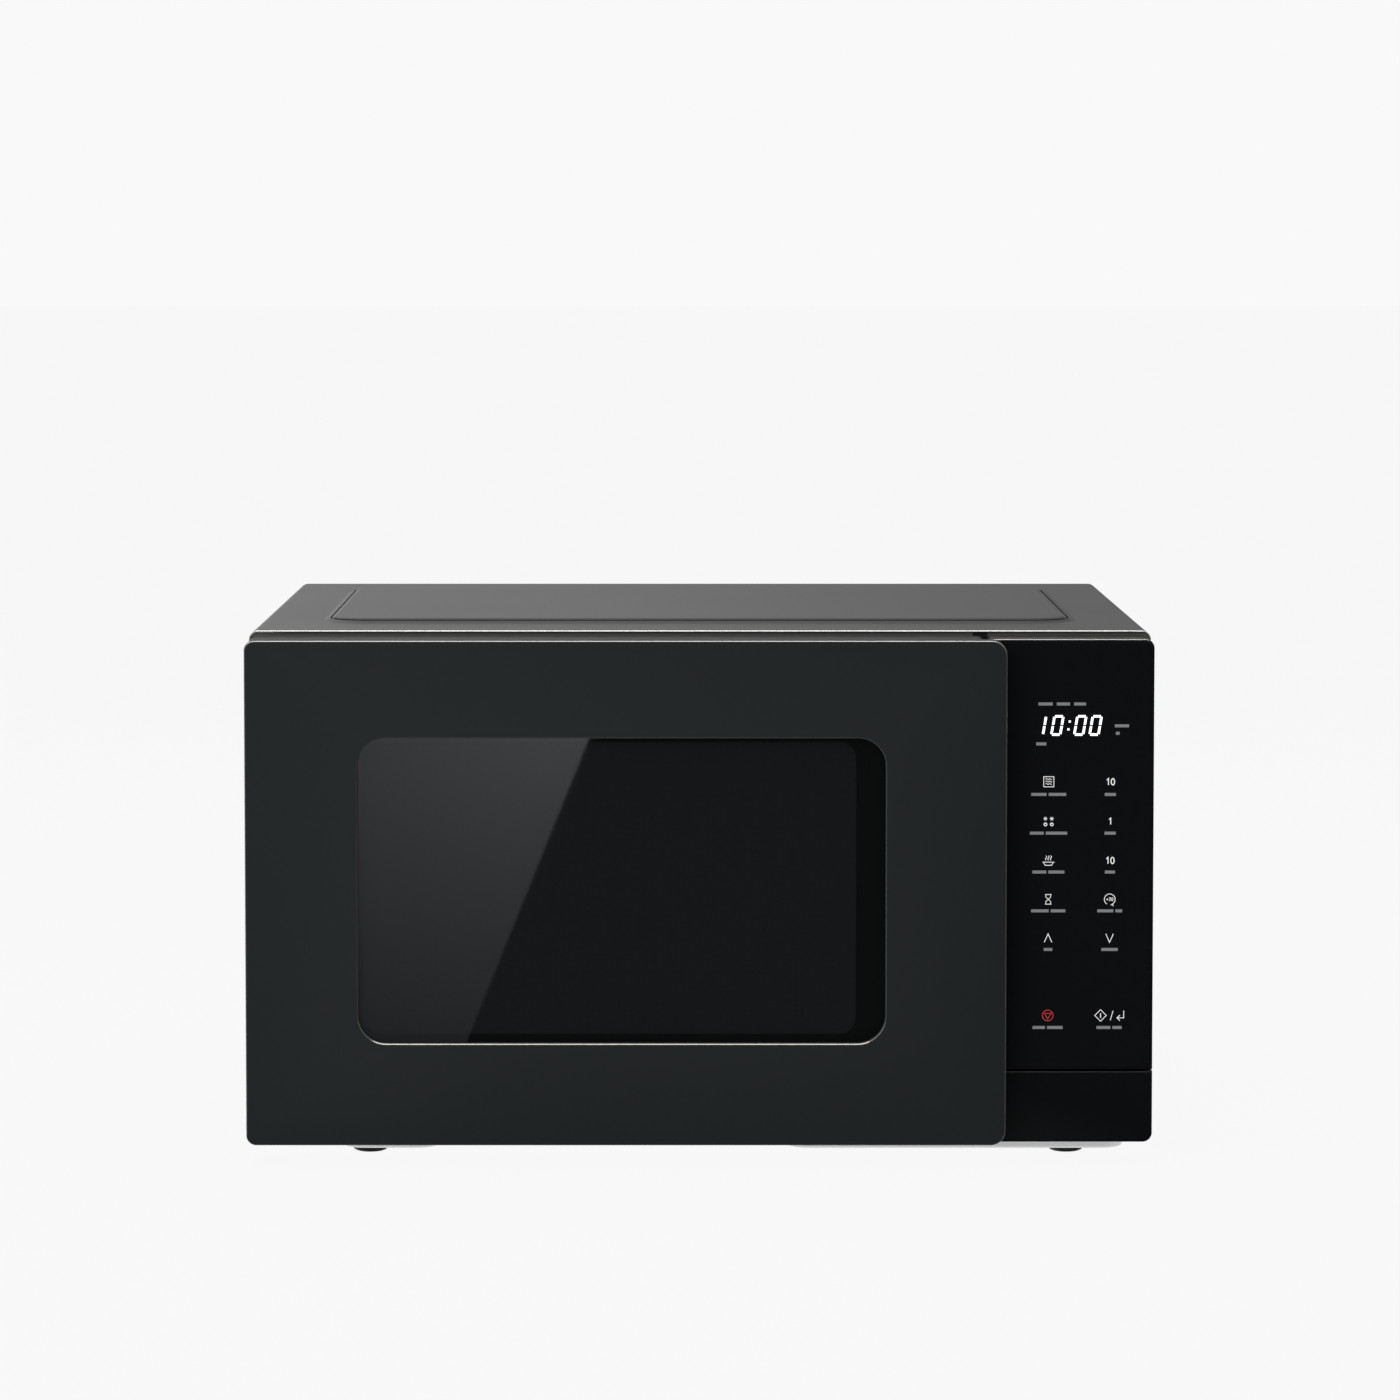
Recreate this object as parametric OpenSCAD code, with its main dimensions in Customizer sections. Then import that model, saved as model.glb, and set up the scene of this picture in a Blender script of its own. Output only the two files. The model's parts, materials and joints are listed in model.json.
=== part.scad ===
// Countertop microwave oven with a side-hinged door and a push-to-open button.
// Millimetres. +X to the right, +Y to the back, +Z up.
// The origin is on the table, under the middle of the oven.

/* [Overall] */
// Width over the cabinet and the door
body_w = 485; // [483:1:487]
// Depth from the front of the door to the screws at the back
body_d = 400; // [396:1:410]
// Height from the table to the raised panel on top
body_h = 287; // [285:1:290]

/* [Cabinet] */
// Thickness of the folded steel
sheet_t = 1; // [0.8:0.1:1.2]
// Radius of the folds along the top
fold_r = 5; // [4:0.5:6]
// Height of the raised panel on top
emboss_h = 2.4; // [1.5:0.1:3]
// Underside of the base plate above the table
base_z = 9.5; // [9:0.5:10]

/* [Door] */
// Thickness of the whole door
door_t = 32; // [31:0.5:33]
// Thickness of the edge that laps over the control panel
lap_t = 10; // [9:0.5:10]
// Width of the lap over the control panel
lap_w = 8.9; // [6:0.1:9]
// Thickness of the door's plastic front wall
door_wall = 3.5; // [3:0.1:3.5]
// Width of the window
window_w = 282.8; // [280:0.1:284]
// Height of the window
window_h = 165; // [160:1:168]
// Radius of the window's corners
window_r = 15.7; // [12:0.1:18]

/* [Control panel] */
// Width of the control panel
panel_w = 88; // [87:0.5:88]
// How far the panel's face lies behind the door's face
panel_set_back = 11; // [11:0.5:12]
// Height of the door-release button
button_h = 38.2; // [36:0.1:39]
// Travel of the door-release button
button_travel = 3; // [2.5:0.5:3]

/* [Cavity] */
// Inner width of the cavity
cavity_w = 316; // [312:1:318]
// Inner height of the cavity
cavity_h = 204; // [200:1:206]
// Inner depth of the cavity, from the front plate
cavity_d = 341; // [336:1:344]

/* [Turntable] */
// Diameter of the glass tray
tray_dia = 288; // [270:1:292]
// Radius of the rollers under the tray
roller_r = 7; // [6.5:0.5:7]
// Radius of the circle that the rollers run on
track_r = 96; // [90:1:100]

/* [Fan] */
// Diameter of the fan's throat
throat_dia = 100; // [96:1:102]
// Number of fan blades
blade_count = 7; // [5:1:9]

/* [Hidden] */
$fn = 64;
eps = 0.5;              // how far a cutter runs past the face that it cuts
shaft_gap = 0.05;       // radial clearance of a shaft in its bore

// Planes across the depth
front_y = -body_d / 2;
panel_y = front_y + panel_set_back;
door_back_y = front_y + door_t;
cabinet_front_y = door_back_y + 1;
plate_y = [cabinet_front_y + 1, cabinet_front_y + 1 + sheet_t];
screw_head_t = 2.2;
cabinet_back_y = body_d / 2 - screw_head_t;
rear_y = [cabinet_back_y - 2 * sheet_t, cabinet_back_y - sheet_t];

// Widths and heights
side_x = body_w / 2;
inside_x = side_x - sheet_t;
roof_z = body_h - emboss_h;
base_top_z = base_z + sheet_t;
front_z = [base_z + 1.7, roof_z - 2.8];
panel_x = [side_x - panel_w, side_x];
door_gap = 2.6;
door_x = [-side_x, panel_x[0] - door_gap];
lap_x = panel_x[0] + lap_w;
button_z = [front_z[0], front_z[0] + button_h];
fascia_bottom_z = button_z[1] + 1;

// Raised panel on top: X span, Y span and corner radius at its foot
emboss_x = [-208, 208];
emboss_y = [-116, 150];
emboss_r = 26;
emboss_slope = 8;

// Window in the door
window_x = [-side_x + 59.4, -side_x + 59.4 + window_w];
window_z = [65.4, 65.4 + window_h];

// Cavity
cavity_x = [-199, -199 + cavity_w];
cavity_y = [plate_y[1], plate_y[1] + cavity_d];
cavity_z = [42, 42 + cavity_h];
inner_corner_r = 8;

// Door hinge: a vertical axis near the door's left edge
hinge_x = -side_x + 8;
hinge_y = front_y + 19;
hinge_pin_r = 3;
hinge_arm_t = 2.5;
hinge_arm_w = 10;
lower_arm_z = [20, 20 + hinge_arm_t];
upper_arm_z = [270, 270 + hinge_arm_t];
hinge_slot_gap = 1;
boss_r = 6;
boss_h = 13;

// Hooks, latch and release
hook_x = [143, 147];
hook_bar_y = [-188, -178];
hook_bar_z = [44, 236];
hook_tip_y = -150;
hook_arm_z = [[56, 64], [216, 224]];
barb_drop = 3;
barb_l = 4;
hook_lift = 2.4;
latch_x = [138, 152.5];
latch_wall = 2;
latch_cheek_z = [12, 70];
cheek_back_y = -130;
lever_y = -138;
lever_z = 18;
lever_r = 2.5;
lever_arm_y = [-141, -135];
pusher_z = [41, 45];
pusher_x = [161, 167];
pusher_end_y = lever_arm_y[0] - 0.8;
switch_y = [-148, -132];
switch_x = [latch_x[0] + latch_wall, latch_x[1] - latch_wall];
switch_h = 28;

// Turntable
table_x = (cavity_x[0] + cavity_x[1]) / 2;
table_y = (cavity_y[0] + cavity_y[1]) / 2;
floor_gap = 0.3;
roller_z = cavity_z[0] + floor_gap + roller_r;
tray_z = roller_z + roller_r + floor_gap;
shaft_r = 3.5;
roller_axle_r = 2;

// Fan, magnetron and transformer, all in the compartment to the right of the cavity
bay_x = cavity_x[1] + sheet_t;
fan_x = 180;
fan_z = 190;
fan_shaft_r = 2.5;
shroud_x = [126, 234];
shroud_y = [150, rear_y[0]];
shroud_z = [136, 244];
guide_x = [bay_x, 146];
guide_y = [-5, 80];
guide_z = [110, 226];
tube_y = 37;
tube_z = 190;
yoke_x = [guide_x[1], 202];
yoke_y = [-4, 79];
yoke_z = [155, 225];
core_x = [135, 225];
core_y = [-20, 60];
core_z = [base_top_z, 88];

// A box from one corner to the opposite one
module block(x, y, z) {
  translate([x[0], y[0], z[0]]) cube([x[1] - x[0], y[1] - y[0], z[1] - z[0]]);
}

module rod_x(x, y, z, r) {
  translate([x[0], y, z]) rotate([0, 90, 0]) cylinder(h = x[1] - x[0], r = r);
}

module rod_y(x, y, z, r) {
  translate([x, y[0], z]) rotate([-90, 0, 0]) cylinder(h = y[1] - y[0], r = r);
}

module rod_z(x, y, z, r) {
  translate([x, y, z[0]]) cylinder(h = z[1] - z[0], r = r);
}

// A rectangle whose left and right corners have their own radii
module rounded_2d(a, b, r_left, r_right) {
  for (v = [b[0] + r_left, b[1] - r_left]) translate([a[0] + r_left, v]) circle(r_left);
  for (v = [b[0] + r_right, b[1] - r_right]) translate([a[1] - r_right, v]) circle(r_right);
  translate([a[0] + r_left, b[0]]) square([a[1] - a[0] - r_left - r_right, b[1] - b[0]]);
  translate([a[0], b[0] + r_left]) square([r_left + 0.01, b[1] - b[0] - 2 * r_left]);
  translate([a[1] - r_right - 0.01, b[0] + r_right])
    square([r_right + 0.01, b[1] - b[0] - 2 * r_right]);
}

// An upright rounded plate, X by Z, with its thickness along Y
module plate(x, y, z, r_left, r_right) {
  translate([0, y[1], 0]) rotate([90, 0, 0])
    linear_extrude(y[1] - y[0]) rounded_2d(x, z, r_left, r_right);
}

// A lying rounded plate, X by Y, with its thickness along Z
module slab(x, y, z, r) {
  translate([0, 0, z[0]]) linear_extrude(z[1] - z[0]) rounded_2d(x, y, r, r);
}

// An upright frame: a rounded plate with a rounded opening
module frame(x, y, z, r, open_x, open_z, open_r) {
  difference() {
    plate(x, y, z, r, r);
    plate(open_x, [y[0] - eps, y[1] + eps], open_z, open_r, open_r);
  }
}

// The cabinet's outline seen from the front, set in by d from the outside
module arch(d, y, bottom_z) {
  r = fold_r - d;
  translate([0, y[1], 0]) rotate([90, 0, 0]) linear_extrude(y[1] - y[0]) {
    for (s = [-1, 1]) translate([s * (side_x - fold_r), roof_z - fold_r]) circle(r);
    translate([-side_x + fold_r, bottom_z]) square([body_w - 2 * fold_r, roof_z - d - bottom_z]);
    translate([-side_x + d, bottom_z]) square([body_w - 2 * d, roof_z - fold_r - bottom_z]);
  }
}

// The raised panel of the roof, as a solid that rises from z by emboss_h
module raised_panel(z) {
  s = emboss_slope;
  hull() {
    slab(emboss_x, emboss_y, [z, z + 0.01], emboss_r, $fn = 32);
    slab([emboss_x[0] + s, emboss_x[1] - s], [emboss_y[0] + s, emboss_y[1] - s],
         [z + emboss_h - 0.01, z + emboss_h], emboss_r - s, $fn = 32);
  }
}

// Where the six screws hold the cabinet to the rear panel: [X, Z]
screw_places = [for (s = [-1, 1]) for (p = [[side_x - 6, 60], [side_x - 6, 220], [150, roof_z - 6]])
  [s * p[0], p[1]]];
screw_r = 1.75;
louvre_rows = [150, 190, 230];
louvre_count = 12;
louvre_pitch = 8;
louvre_w = 3;
louvre_h = 26;
louvre_y = 60;          // front edge of the first louvre

module cabinet() {
  flange_w = 11;
  color([0.45, 0.46, 0.47]) difference() {
    union() {
      arch(0, [cabinet_front_y, cabinet_back_y], base_z);
      raised_panel(roof_z);
    }
    arch(sheet_t, [cabinet_front_y - eps, cabinet_back_y - sheet_t], base_z - eps);
    block([-side_x + flange_w, side_x - flange_w], [cabinet_back_y - 2 * sheet_t, cabinet_back_y + eps],
          [base_z - eps, roof_z - flange_w]);
    raised_panel(roof_z - sheet_t);
    for (p = screw_places)
      rod_y(p[0], [cabinet_back_y - 2 * sheet_t, cabinet_back_y + eps], p[1], screw_r);
    for (s = [-1, 1]) for (z = louvre_rows) for (i = [0 : louvre_count - 1])
      block([s * side_x - 2, s * side_x + 2],
            [louvre_y + i * louvre_pitch, louvre_y + i * louvre_pitch + louvre_w], [z, z + louvre_h]);
  }
}

module cabinet_screws() {
  head_r = 4;
  shank_l = 4;
  recess = [5, 2.4, 1];
  color("silver") for (p = screw_places) difference() {
    union() {
      rod_y(p[0], [cabinet_back_y, body_d / 2], p[1], head_r);
      rod_y(p[0], [rear_y[0] - shank_l, cabinet_back_y], p[1], screw_r);
    }
    for (a = [0, 90])
      translate([p[0], body_d / 2, p[1]]) rotate([0, a, 0]) cube(recess, center = true);
  }
}

gland_x = 214;
gland_z = 46;
gland_r = 8;
gland_bore_r = 4.2;

module rear_panel() {
  vent_pitch = 9;
  slit_h = 3;
  fan_slit_w = 14;
  fan_slit_pitch = 18;
  side_slit_w = 16;
  side_slit_pitch = 22;
  side_vent = [-210, 205];
  color([0.72, 0.73, 0.73]) difference() {
    arch(sheet_t, rear_y, base_top_z);
    for (p = screw_places) rod_y(p[0], [rear_y[0] - eps, rear_y[1] + eps], p[1], screw_r);
    for (i = [-4 : 4]) for (k = [-2 : 2])
      translate([fan_x + k * fan_slit_pitch, 0, fan_z + i * vent_pitch])
        block([-fan_slit_w / 2, fan_slit_w / 2], [rear_y[0] - eps, rear_y[1] + eps],
              [-slit_h / 2, slit_h / 2]);
    for (i = [0 : 5]) for (k = [0 : 7])
      translate([side_vent[0] + k * side_slit_pitch, 0, side_vent[1] + i * vent_pitch])
        block([0, side_slit_w], [rear_y[0] - eps, rear_y[1] + eps], [0, slit_h]);
    rod_y(gland_x, [rear_y[0] - eps, rear_y[1] + eps], gland_z, gland_r);
  }
}

foot_places = [[-179, -150], [199, -150], [-179, 150], [199, 150]];
foot_stem_r = 3;
pad_depth = 6.5;
// Pressed pads of the base plate that carry the feet: [X span, Y span]
pads = [
  [[-195, -141], [-163, -137]], [[46, 230], [-163, -137]],
  [[-195, -141], [137, 163]], [[46, 230], [137, 163]]
];

module base_plate() {
  slot_x = [60, 100];
  slot_y = -60;
  slot_w = 4;
  slot_pitch = 12;
  pad_r = 12.9;
  color([0.9, 0.92, 0.91]) difference() {
    union() {
      block([-inside_x, inside_x], [plate_y[0], rear_y[1]], [base_z, base_top_z]);
      for (p = pads) slab(p[0], p[1], [base_z - pad_depth, base_z + 0.01], pad_r);
    }
    for (p = pads)
      slab([p[0][0] + 1, p[0][1] - 1], [p[1][0] + 1, p[1][1] - 1],
           [base_z - pad_depth + 1, base_top_z + eps], pad_r - 1);
    for (p = foot_places)
      rod_z(p[0], p[1], [0, base_top_z], foot_stem_r);
    for (i = [0 : 9])
      block(slot_x, [slot_y + i * slot_pitch, slot_y + i * slot_pitch + slot_w],
            [base_z - eps, base_top_z + eps]);
  }
}

module feet() {
  foot_top = base_z - pad_depth;
  dome_r = 10;
  flat_r = 6.5;
  stem_top = foot_top + 2.5;
  color([0.12, 0.12, 0.12]) for (p = foot_places) translate([p[0], p[1], 0]) {
    rotate_extrude() polygon(concat(
      [[0, 0]],
      [for (a = [0 : 15 : 90]) [flat_r + (dome_r - flat_r) * sin(a), foot_top * (1 - cos(a))]],
      [[foot_stem_r, foot_top], [foot_stem_r, stem_top], [0, stem_top]]));
  }
}

module front_plate() {
  board_hole_x = [190, 231];
  board_hole_z = [122, 164];
  color([0.62, 0.63, 0.64]) difference() {
    arch(sheet_t, plate_y, base_top_z);
    plate(cavity_x, [plate_y[0] - eps, plate_y[1] + eps], cavity_z, inner_corner_r, inner_corner_r);
    hook_slots(plate_y);
    pusher_hole(plate_y);
    block(board_hole_x, [plate_y[0] - eps, plate_y[1] + eps], board_hole_z);
  }
}

module hook_slots(y) {
  for (z = hook_arm_z)
    block([hook_x[0] - 2, hook_x[1] + 2.5], [y[0] - eps, y[1] + eps],
          [z[0] - barb_drop - 1.5, z[1] + hook_lift + 1.5]);
}

module pusher_hole(y) {
  block([pusher_x[0] - 1.5, pusher_x[1] + 1.5], [y[0] - eps, y[1] + eps],
        [pusher_z[0] - 1.5, pusher_z[1] + 0.9]);
}

lamp_x = 150;
lamp_y = -106;
lamp_z = 205;
lamp_neck_r = 6.5;
port_y = [8, 66];
port_z = [116, 164];
tube_hole_r = 14;

module cavity() {
  t = sheet_t;
  x = cavity_x;
  y = cavity_y;
  z = cavity_z;
  vent_pitch = 7;
  vent_r = 2.2;
  exhaust_y = 60;
  shaft_hole_r = shaft_r + 3;
  color([0.8, 0.8, 0.78]) difference() {
    plate([x[0] - t, x[1] + t], [y[0], y[1] + t], [z[0] - t, z[1] + t],
          inner_corner_r + t, inner_corner_r + t);
    plate(x, [y[0] - eps, y[1]], z, inner_corner_r, inner_corner_r);
    rod_z(table_x, table_y, [z[0] - t - eps, z[0] + eps], shaft_hole_r);
    block([x[1] - eps, x[1] + t + eps], port_y, port_z);
    for (i = [-2 : 2]) for (k = [-2 : 2])
      rod_x([x[1] - eps, x[1] + t + eps], lamp_y + i * vent_pitch, lamp_z + k * vent_pitch, vent_r);
    for (i = [0 : 7]) for (k = [-1 : 1])
      rod_x([x[0] - t - eps, x[0] + eps], exhaust_y + i * vent_pitch, lamp_z + k * vent_pitch, vent_r);
  }
}

module waveguide_cover() {
  cover_t = 0.6;
  x = [cavity_x[1] - cover_t, cavity_x[1]];
  margin = 6;
  color([0.78, 0.72, 0.6])
    block(x, [port_y[0] - margin, port_y[1] + margin], [port_z[0] - margin, port_z[1] + margin]);
}

module waveguide() {
  t = sheet_t;
  color([0.75, 0.76, 0.76]) difference() {
    block(guide_x, guide_y, guide_z);
    block([guide_x[0] + t, guide_x[1] - t], [guide_y[0] + t, guide_y[1] - t],
          [guide_z[0] + t, guide_z[1] - t]);
    block([guide_x[0] - eps, guide_x[0] + t + eps], port_y, port_z);
    rod_x([guide_x[1] - t - eps, guide_x[1] + eps], tube_y, tube_z, tube_hole_r);
  }
}

yoke_t = 1.5;
stem_hole_r = 10;
module magnetron_yoke() {
  t = yoke_t;
  color([0.7, 0.71, 0.72]) difference() {
    block(yoke_x, yoke_y, yoke_z);
    block([yoke_x[0] + t, yoke_x[1] - t], [yoke_y[0] - eps, yoke_y[1] + eps],
          [yoke_z[0] + t, yoke_z[1] - t]);
    rod_x([yoke_x[0] - eps, yoke_x[0] + t + eps], tube_y, tube_z, tube_hole_r);
    rod_x([yoke_x[1] - t - eps, yoke_x[1] + eps], tube_y, tube_z, stem_hole_r);
  }
}

magnet_t = 12;
// Inner faces of the two ring magnets
gap_x = [yoke_x[0] + yoke_t + magnet_t, yoke_x[1] - yoke_t - magnet_t];
module magnetron_magnets() {
  outer_r = 27;
  inner_r = 11;
  color([0.2, 0.2, 0.21])
    for (x = [[gap_x[0] - magnet_t, gap_x[0]], [gap_x[1], gap_x[1] + magnet_t]]) difference() {
      rod_x(x, tube_y, tube_z, outer_r);
      rod_x([x[0] - eps, x[1] + eps], tube_y, tube_z, inner_r);
    }
}

module magnetron_anode() {
  anode_r = 18;
  fin_count = 6;
  fin_t = 0.8;
  fin_w = 76;
  end_gap = 2;
  pitch = (gap_x[1] - gap_x[0] - 2 * end_gap) / (fin_count - 1);
  color([0.8, 0.8, 0.82]) {
    rod_x(gap_x, tube_y, tube_z, anode_r);
    for (i = [0 : fin_count - 1]) translate([gap_x[0] + end_gap + i * pitch, tube_y, 0])
      block([-fin_t / 2, fin_t / 2], [-fin_w / 2, fin_w / 2],
            [yoke_z[0] + end_gap, yoke_z[1] - end_gap]);
  }
}

module magnetron_antenna() {
  stem_r = 8;
  tip_x = guide_x[1] - 14;
  color([0.85, 0.85, 0.85]) {
    rod_x([tip_x, gap_x[0]], tube_y, tube_z, stem_r);
    translate([tip_x, tube_y, tube_z]) sphere(stem_r);
  }
}

module magnetron_filter_box() {
  t = 1;
  x = [yoke_x[1], 234];
  y = [tube_y - 28, tube_y + 28];
  z = [yoke_z[0] + 5, yoke_z[1] - 5];
  plug_r = 6;
  color([0.7, 0.71, 0.72]) {
    difference() {
      block(x, y, z);
      block([x[0] + t, x[1] - t], [y[0] + t, y[1] - t], [z[0] + t, z[1] - t]);
    }
    rod_y((x[0] + x[1]) / 2, [y[1], y[1] + 6], z[0] + 15, plug_r);
  }
}

// Iron around the two windows of the transformer, and the windows' height
leg_w = 16;
coil_z = [core_z[0] + 18, core_z[1] - 15];
module transformer_core() {
  foot = 12;
  foot_t = 3;
  color([0.35, 0.34, 0.33]) difference() {
    union() {
      block(core_x, core_y, [core_z[0] + foot_t, core_z[1]]);
      block(core_x, [core_y[0] - foot, core_y[1] + foot], [core_z[0], core_z[0] + foot_t]);
    }
    for (x = [core_x[0] + leg_w, core_x[1] - 2 * leg_w])
      block([x, x + leg_w], [core_y[0] - eps, core_y[1] + eps], coil_z);
  }
}

module transformer_windings() {
  middle = (coil_z[0] + coil_z[1]) / 2;
  half_gap = 1;
  out = 13;
  coil_corner_r = 12;
  color([0.65, 0.35, 0.2])
    for (z = [[coil_z[0], middle - half_gap], [middle + half_gap, coil_z[1]]]) difference() {
      slab([core_x[0] + leg_w, core_x[1] - leg_w], [core_y[0] - out, core_y[1] + out], z, coil_corner_r);
      block([core_x[0] + 2 * leg_w, core_x[1] - 2 * leg_w], core_y, [z[0] - eps, z[1] + eps]);
    }
}

can_x = [132, 184];
can_y = [105, 138];
can_z = [base_top_z, 96];
can_r = 16.4;

module capacitor() {
  terminal_x = [148, 168];
  terminal_h = 8;
  terminal_r = 2.5;
  color([0.75, 0.76, 0.77]) {
    slab(can_x, can_y, can_z, can_r);
    for (x = terminal_x)
      rod_z(x, (can_y[0] + can_y[1]) / 2, [can_z[1], can_z[1] + terminal_h], terminal_r);
  }
}

module capacitor_clamp() {
  t = 1;
  z = [46, 60];
  leg_y = [115, 128];
  leg_x = can_x[1] + 8;
  color([0.6, 0.6, 0.6]) {
    difference() {
      slab([can_x[0] - t, can_x[1] + t], [can_y[0] - t, can_y[1] + t], z, can_r + t);
      slab(can_x, can_y, [z[0] - eps, z[1] + eps], can_r);
    }
    block([can_x[1] + t - 0.2, leg_x], leg_y, z);
    block([leg_x - t, leg_x], leg_y, [base_top_z, z[0] + 0.01]);
  }
}

module high_voltage_diode() {
  diode_x = 212;
  diode_y = [96, 124];
  diode_r = 3.5;
  tab = [8, 3, 16];
  color([0.1, 0.1, 0.1]) {
    rod_y(diode_x, diode_y, base_top_z + 10, diode_r);
    translate([diode_x - tab[0] / 2, diode_y[1], base_top_z]) cube(tab);
  }
}

fan_motor_y = [124, 144];
fan_spoke = 26;         // from the fan's axis to each of the two spokes
module fan_shroud() {
  t = 2;
  throat_r = throat_dia / 2;
  spoke_w = 6;
  post_r = 3;
  color([0.85, 0.85, 0.83]) {
    difference() {
      block(shroud_x, shroud_y, shroud_z);
      block([shroud_x[0] + t, shroud_x[1] - t], [shroud_y[0] + t, shroud_y[1] + eps],
            [shroud_z[0] + t, shroud_z[1] - t]);
      rod_y(fan_x, [shroud_y[0] - eps, shroud_y[0] + t + eps], fan_z, throat_r);
    }
    for (s = [-1, 1]) {
      x = fan_x + s * fan_spoke;
      block([x - spoke_w / 2, x + spoke_w / 2], [shroud_y[0], shroud_y[0] + t], shroud_z);
      rod_y(x, [fan_motor_y[1], shroud_y[0] + t], fan_z + 20, post_r);
    }
  }
}

module fan_motor() {
  y = fan_motor_y;
  stack_half_w = 30;
  window_half_w = 18;
  rotor_r = 11;
  bearing_r = 14;
  coil_z = [fan_z + 26, fan_z + 36];
  color([0.4, 0.4, 0.42]) {
    difference() {
      block([fan_x - stack_half_w, fan_x + stack_half_w], y, [fan_z - 22, fan_z + 34]);
      block([fan_x - window_half_w, fan_x + window_half_w], [y[0] - eps, y[1] + eps],
            [fan_z + 18, coil_z[0]]);
      rod_y(fan_x, [y[0] - eps, y[1] + eps], fan_z, rotor_r);
    }
    for (bearing = [[y[0] - 5, y[0]], [y[1], y[1] + 4]]) difference() {
      rod_y(fan_x, bearing, fan_z, bearing_r);
      rod_y(fan_x, [bearing[0] - eps, bearing[1] + eps], fan_z, fan_shaft_r + shaft_gap);
    }
    block([fan_x - window_half_w + 1, fan_x + window_half_w - 1], [y[0] - 6, y[1] + 5], coil_z);
  }
}

module air_duct() {
  t = 1.5;
  x = [bay_x, 200];
  y = [-62, yoke_y[0]];
  z = [yoke_z[0] + 1, yoke_z[1] + 1];
  color([0.8, 0.82, 0.8]) difference() {
    block(x, y, z);
    block([x[0] - eps, x[1] - t], [y[0] + t, y[1] + eps], [z[0] + t, z[1] - t]);
    block([guide_x[0] - eps, guide_x[1] + 0.3], [guide_y[0] - 0.3, y[1] + eps], [z[0] - eps, z[1] + eps]);
  }
}

module turntable_motor() {
  z = [cavity_z[0] - sheet_t - 18, cavity_z[0] - sheet_t];
  case_r = 24.5;
  ear = [33, 6];
  plug_half_w = 9;
  color([0.75, 0.76, 0.76]) difference() {
    union() {
      rod_z(table_x, table_y, z, case_r);
      block([table_x - ear[0], table_x + ear[0]], [table_y - ear[1], table_y + ear[1]], [z[1] - 1, z[1]]);
      block([table_x - plug_half_w, table_x + plug_half_w], [table_y + 20, table_y + 34],
            [z[0] + 2, z[0] + 10]);
    }
    rod_z(table_x, table_y, [z[0] + 4, z[1] + eps], shaft_r + shaft_gap);
  }
}

module lamp() {
  bulb_r = 11;
  neck_l = 16;
  color([0.95, 0.93, 0.85]) translate([lamp_x, lamp_y, lamp_z]) rotate([0, 90, 0]) rotate_extrude() {
    intersection() {
      circle(bulb_r);
      translate([0, -bulb_r]) square([bulb_r, 2 * bulb_r]);
    }
    square([lamp_neck_r, neck_l]);
  }
}

module lamp_socket() {
  x = [lamp_x + 10, lamp_x + 36];
  socket_r = 10;
  bracket_y = [lamp_y + 12, lamp_y + 14];
  bracket_z = [lamp_z - 8, lamp_z + 8];
  bracket_end_x = x[0] + 16;
  color([0.85, 0.84, 0.8]) {
    difference() {
      rod_x(x, lamp_y, lamp_z, socket_r);
      rod_x([x[0] - eps, x[0] + 6], lamp_y, lamp_z, lamp_neck_r);
    }
    block([bay_x, bracket_end_x], bracket_y, bracket_z);
    block([bracket_end_x - 2, bracket_end_x], [lamp_y + 8, bracket_y[1]], bracket_z);
  }
}

// The moulding behind the front plate that takes the hooks and carries the lever
module latch_bracket() {
  flange_y = [plate_y[1], plate_y[1] + 3];
  cheek_y = [flange_y[1] - 0.01, cheek_back_y];
  tall_z = [latch_cheek_z[0], 252];
  cheek_c = [171, 173];
  color([0.88, 0.88, 0.86]) difference() {
    union() {
      block(latch_x, flange_y, tall_z);
      block([latch_x[0], cheek_c[1]], flange_y, latch_cheek_z);
      for (x = [[latch_x[0], latch_x[0] + latch_wall], [latch_x[1] - latch_wall, latch_x[1]]])
        block(x, cheek_y, tall_z);
      block(cheek_c, cheek_y, latch_cheek_z);
    }
    hook_slots(flange_y);
    pusher_hole(flange_y);
    rod_x([latch_x[0] - eps, cheek_c[1] + eps], lever_y, lever_z, lever_r + shaft_gap);
  }
}

// A microswitch whose plunger faces the door
module microswitch(z0) {
  contact_x = [144, 146.5];
  plunger_l = 1.4;
  blade_l = 6;
  blade_t = 0.8;
  screw_y = -138;
  difference() {
    union() {
      block(switch_x, switch_y, [z0, z0 + switch_h]);
      block(contact_x, [switch_y[0] - plunger_l, switch_y[0]], [z0 + 4, z0 + 7]);
      for (dz = [6, 14, 22])
        block(contact_x, [switch_y[1], switch_y[1] + blade_l], [z0 + dz, z0 + dz + blade_t]);
    }
    for (dz = [9, 22]) rod_x([switch_x[0] - eps, switch_x[1] + eps], screw_y, z0 + dz, 1.5);
  }
}

module primary_switch() { color([0.15, 0.15, 0.16]) microswitch(216); }
module secondary_switch() { color([0.15, 0.15, 0.16]) microswitch(57); }
module monitor_switch() { color([0.8, 0.25, 0.2]) microswitch(96); }

module thermostat() {
  centre_x = 175;
  cup_r = 8;
  cup_top_z = yoke_z[1] + 10;
  blade_t = 0.8;
  color([0.82, 0.8, 0.74]) {
    rod_z(centre_x, tube_y, [yoke_z[1], cup_top_z], cup_r);
    block([centre_x - 15, centre_x + 15], [tube_y - 4, tube_y + 4], [yoke_z[1], yoke_z[1] + 1]);
    for (x = [centre_x - 4, centre_x + 4])
      block([x - blade_t / 2, x + blade_t / 2], [tube_y - 3, tube_y + 3], [cup_top_z, cup_top_z + 6]);
  }
}

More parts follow.
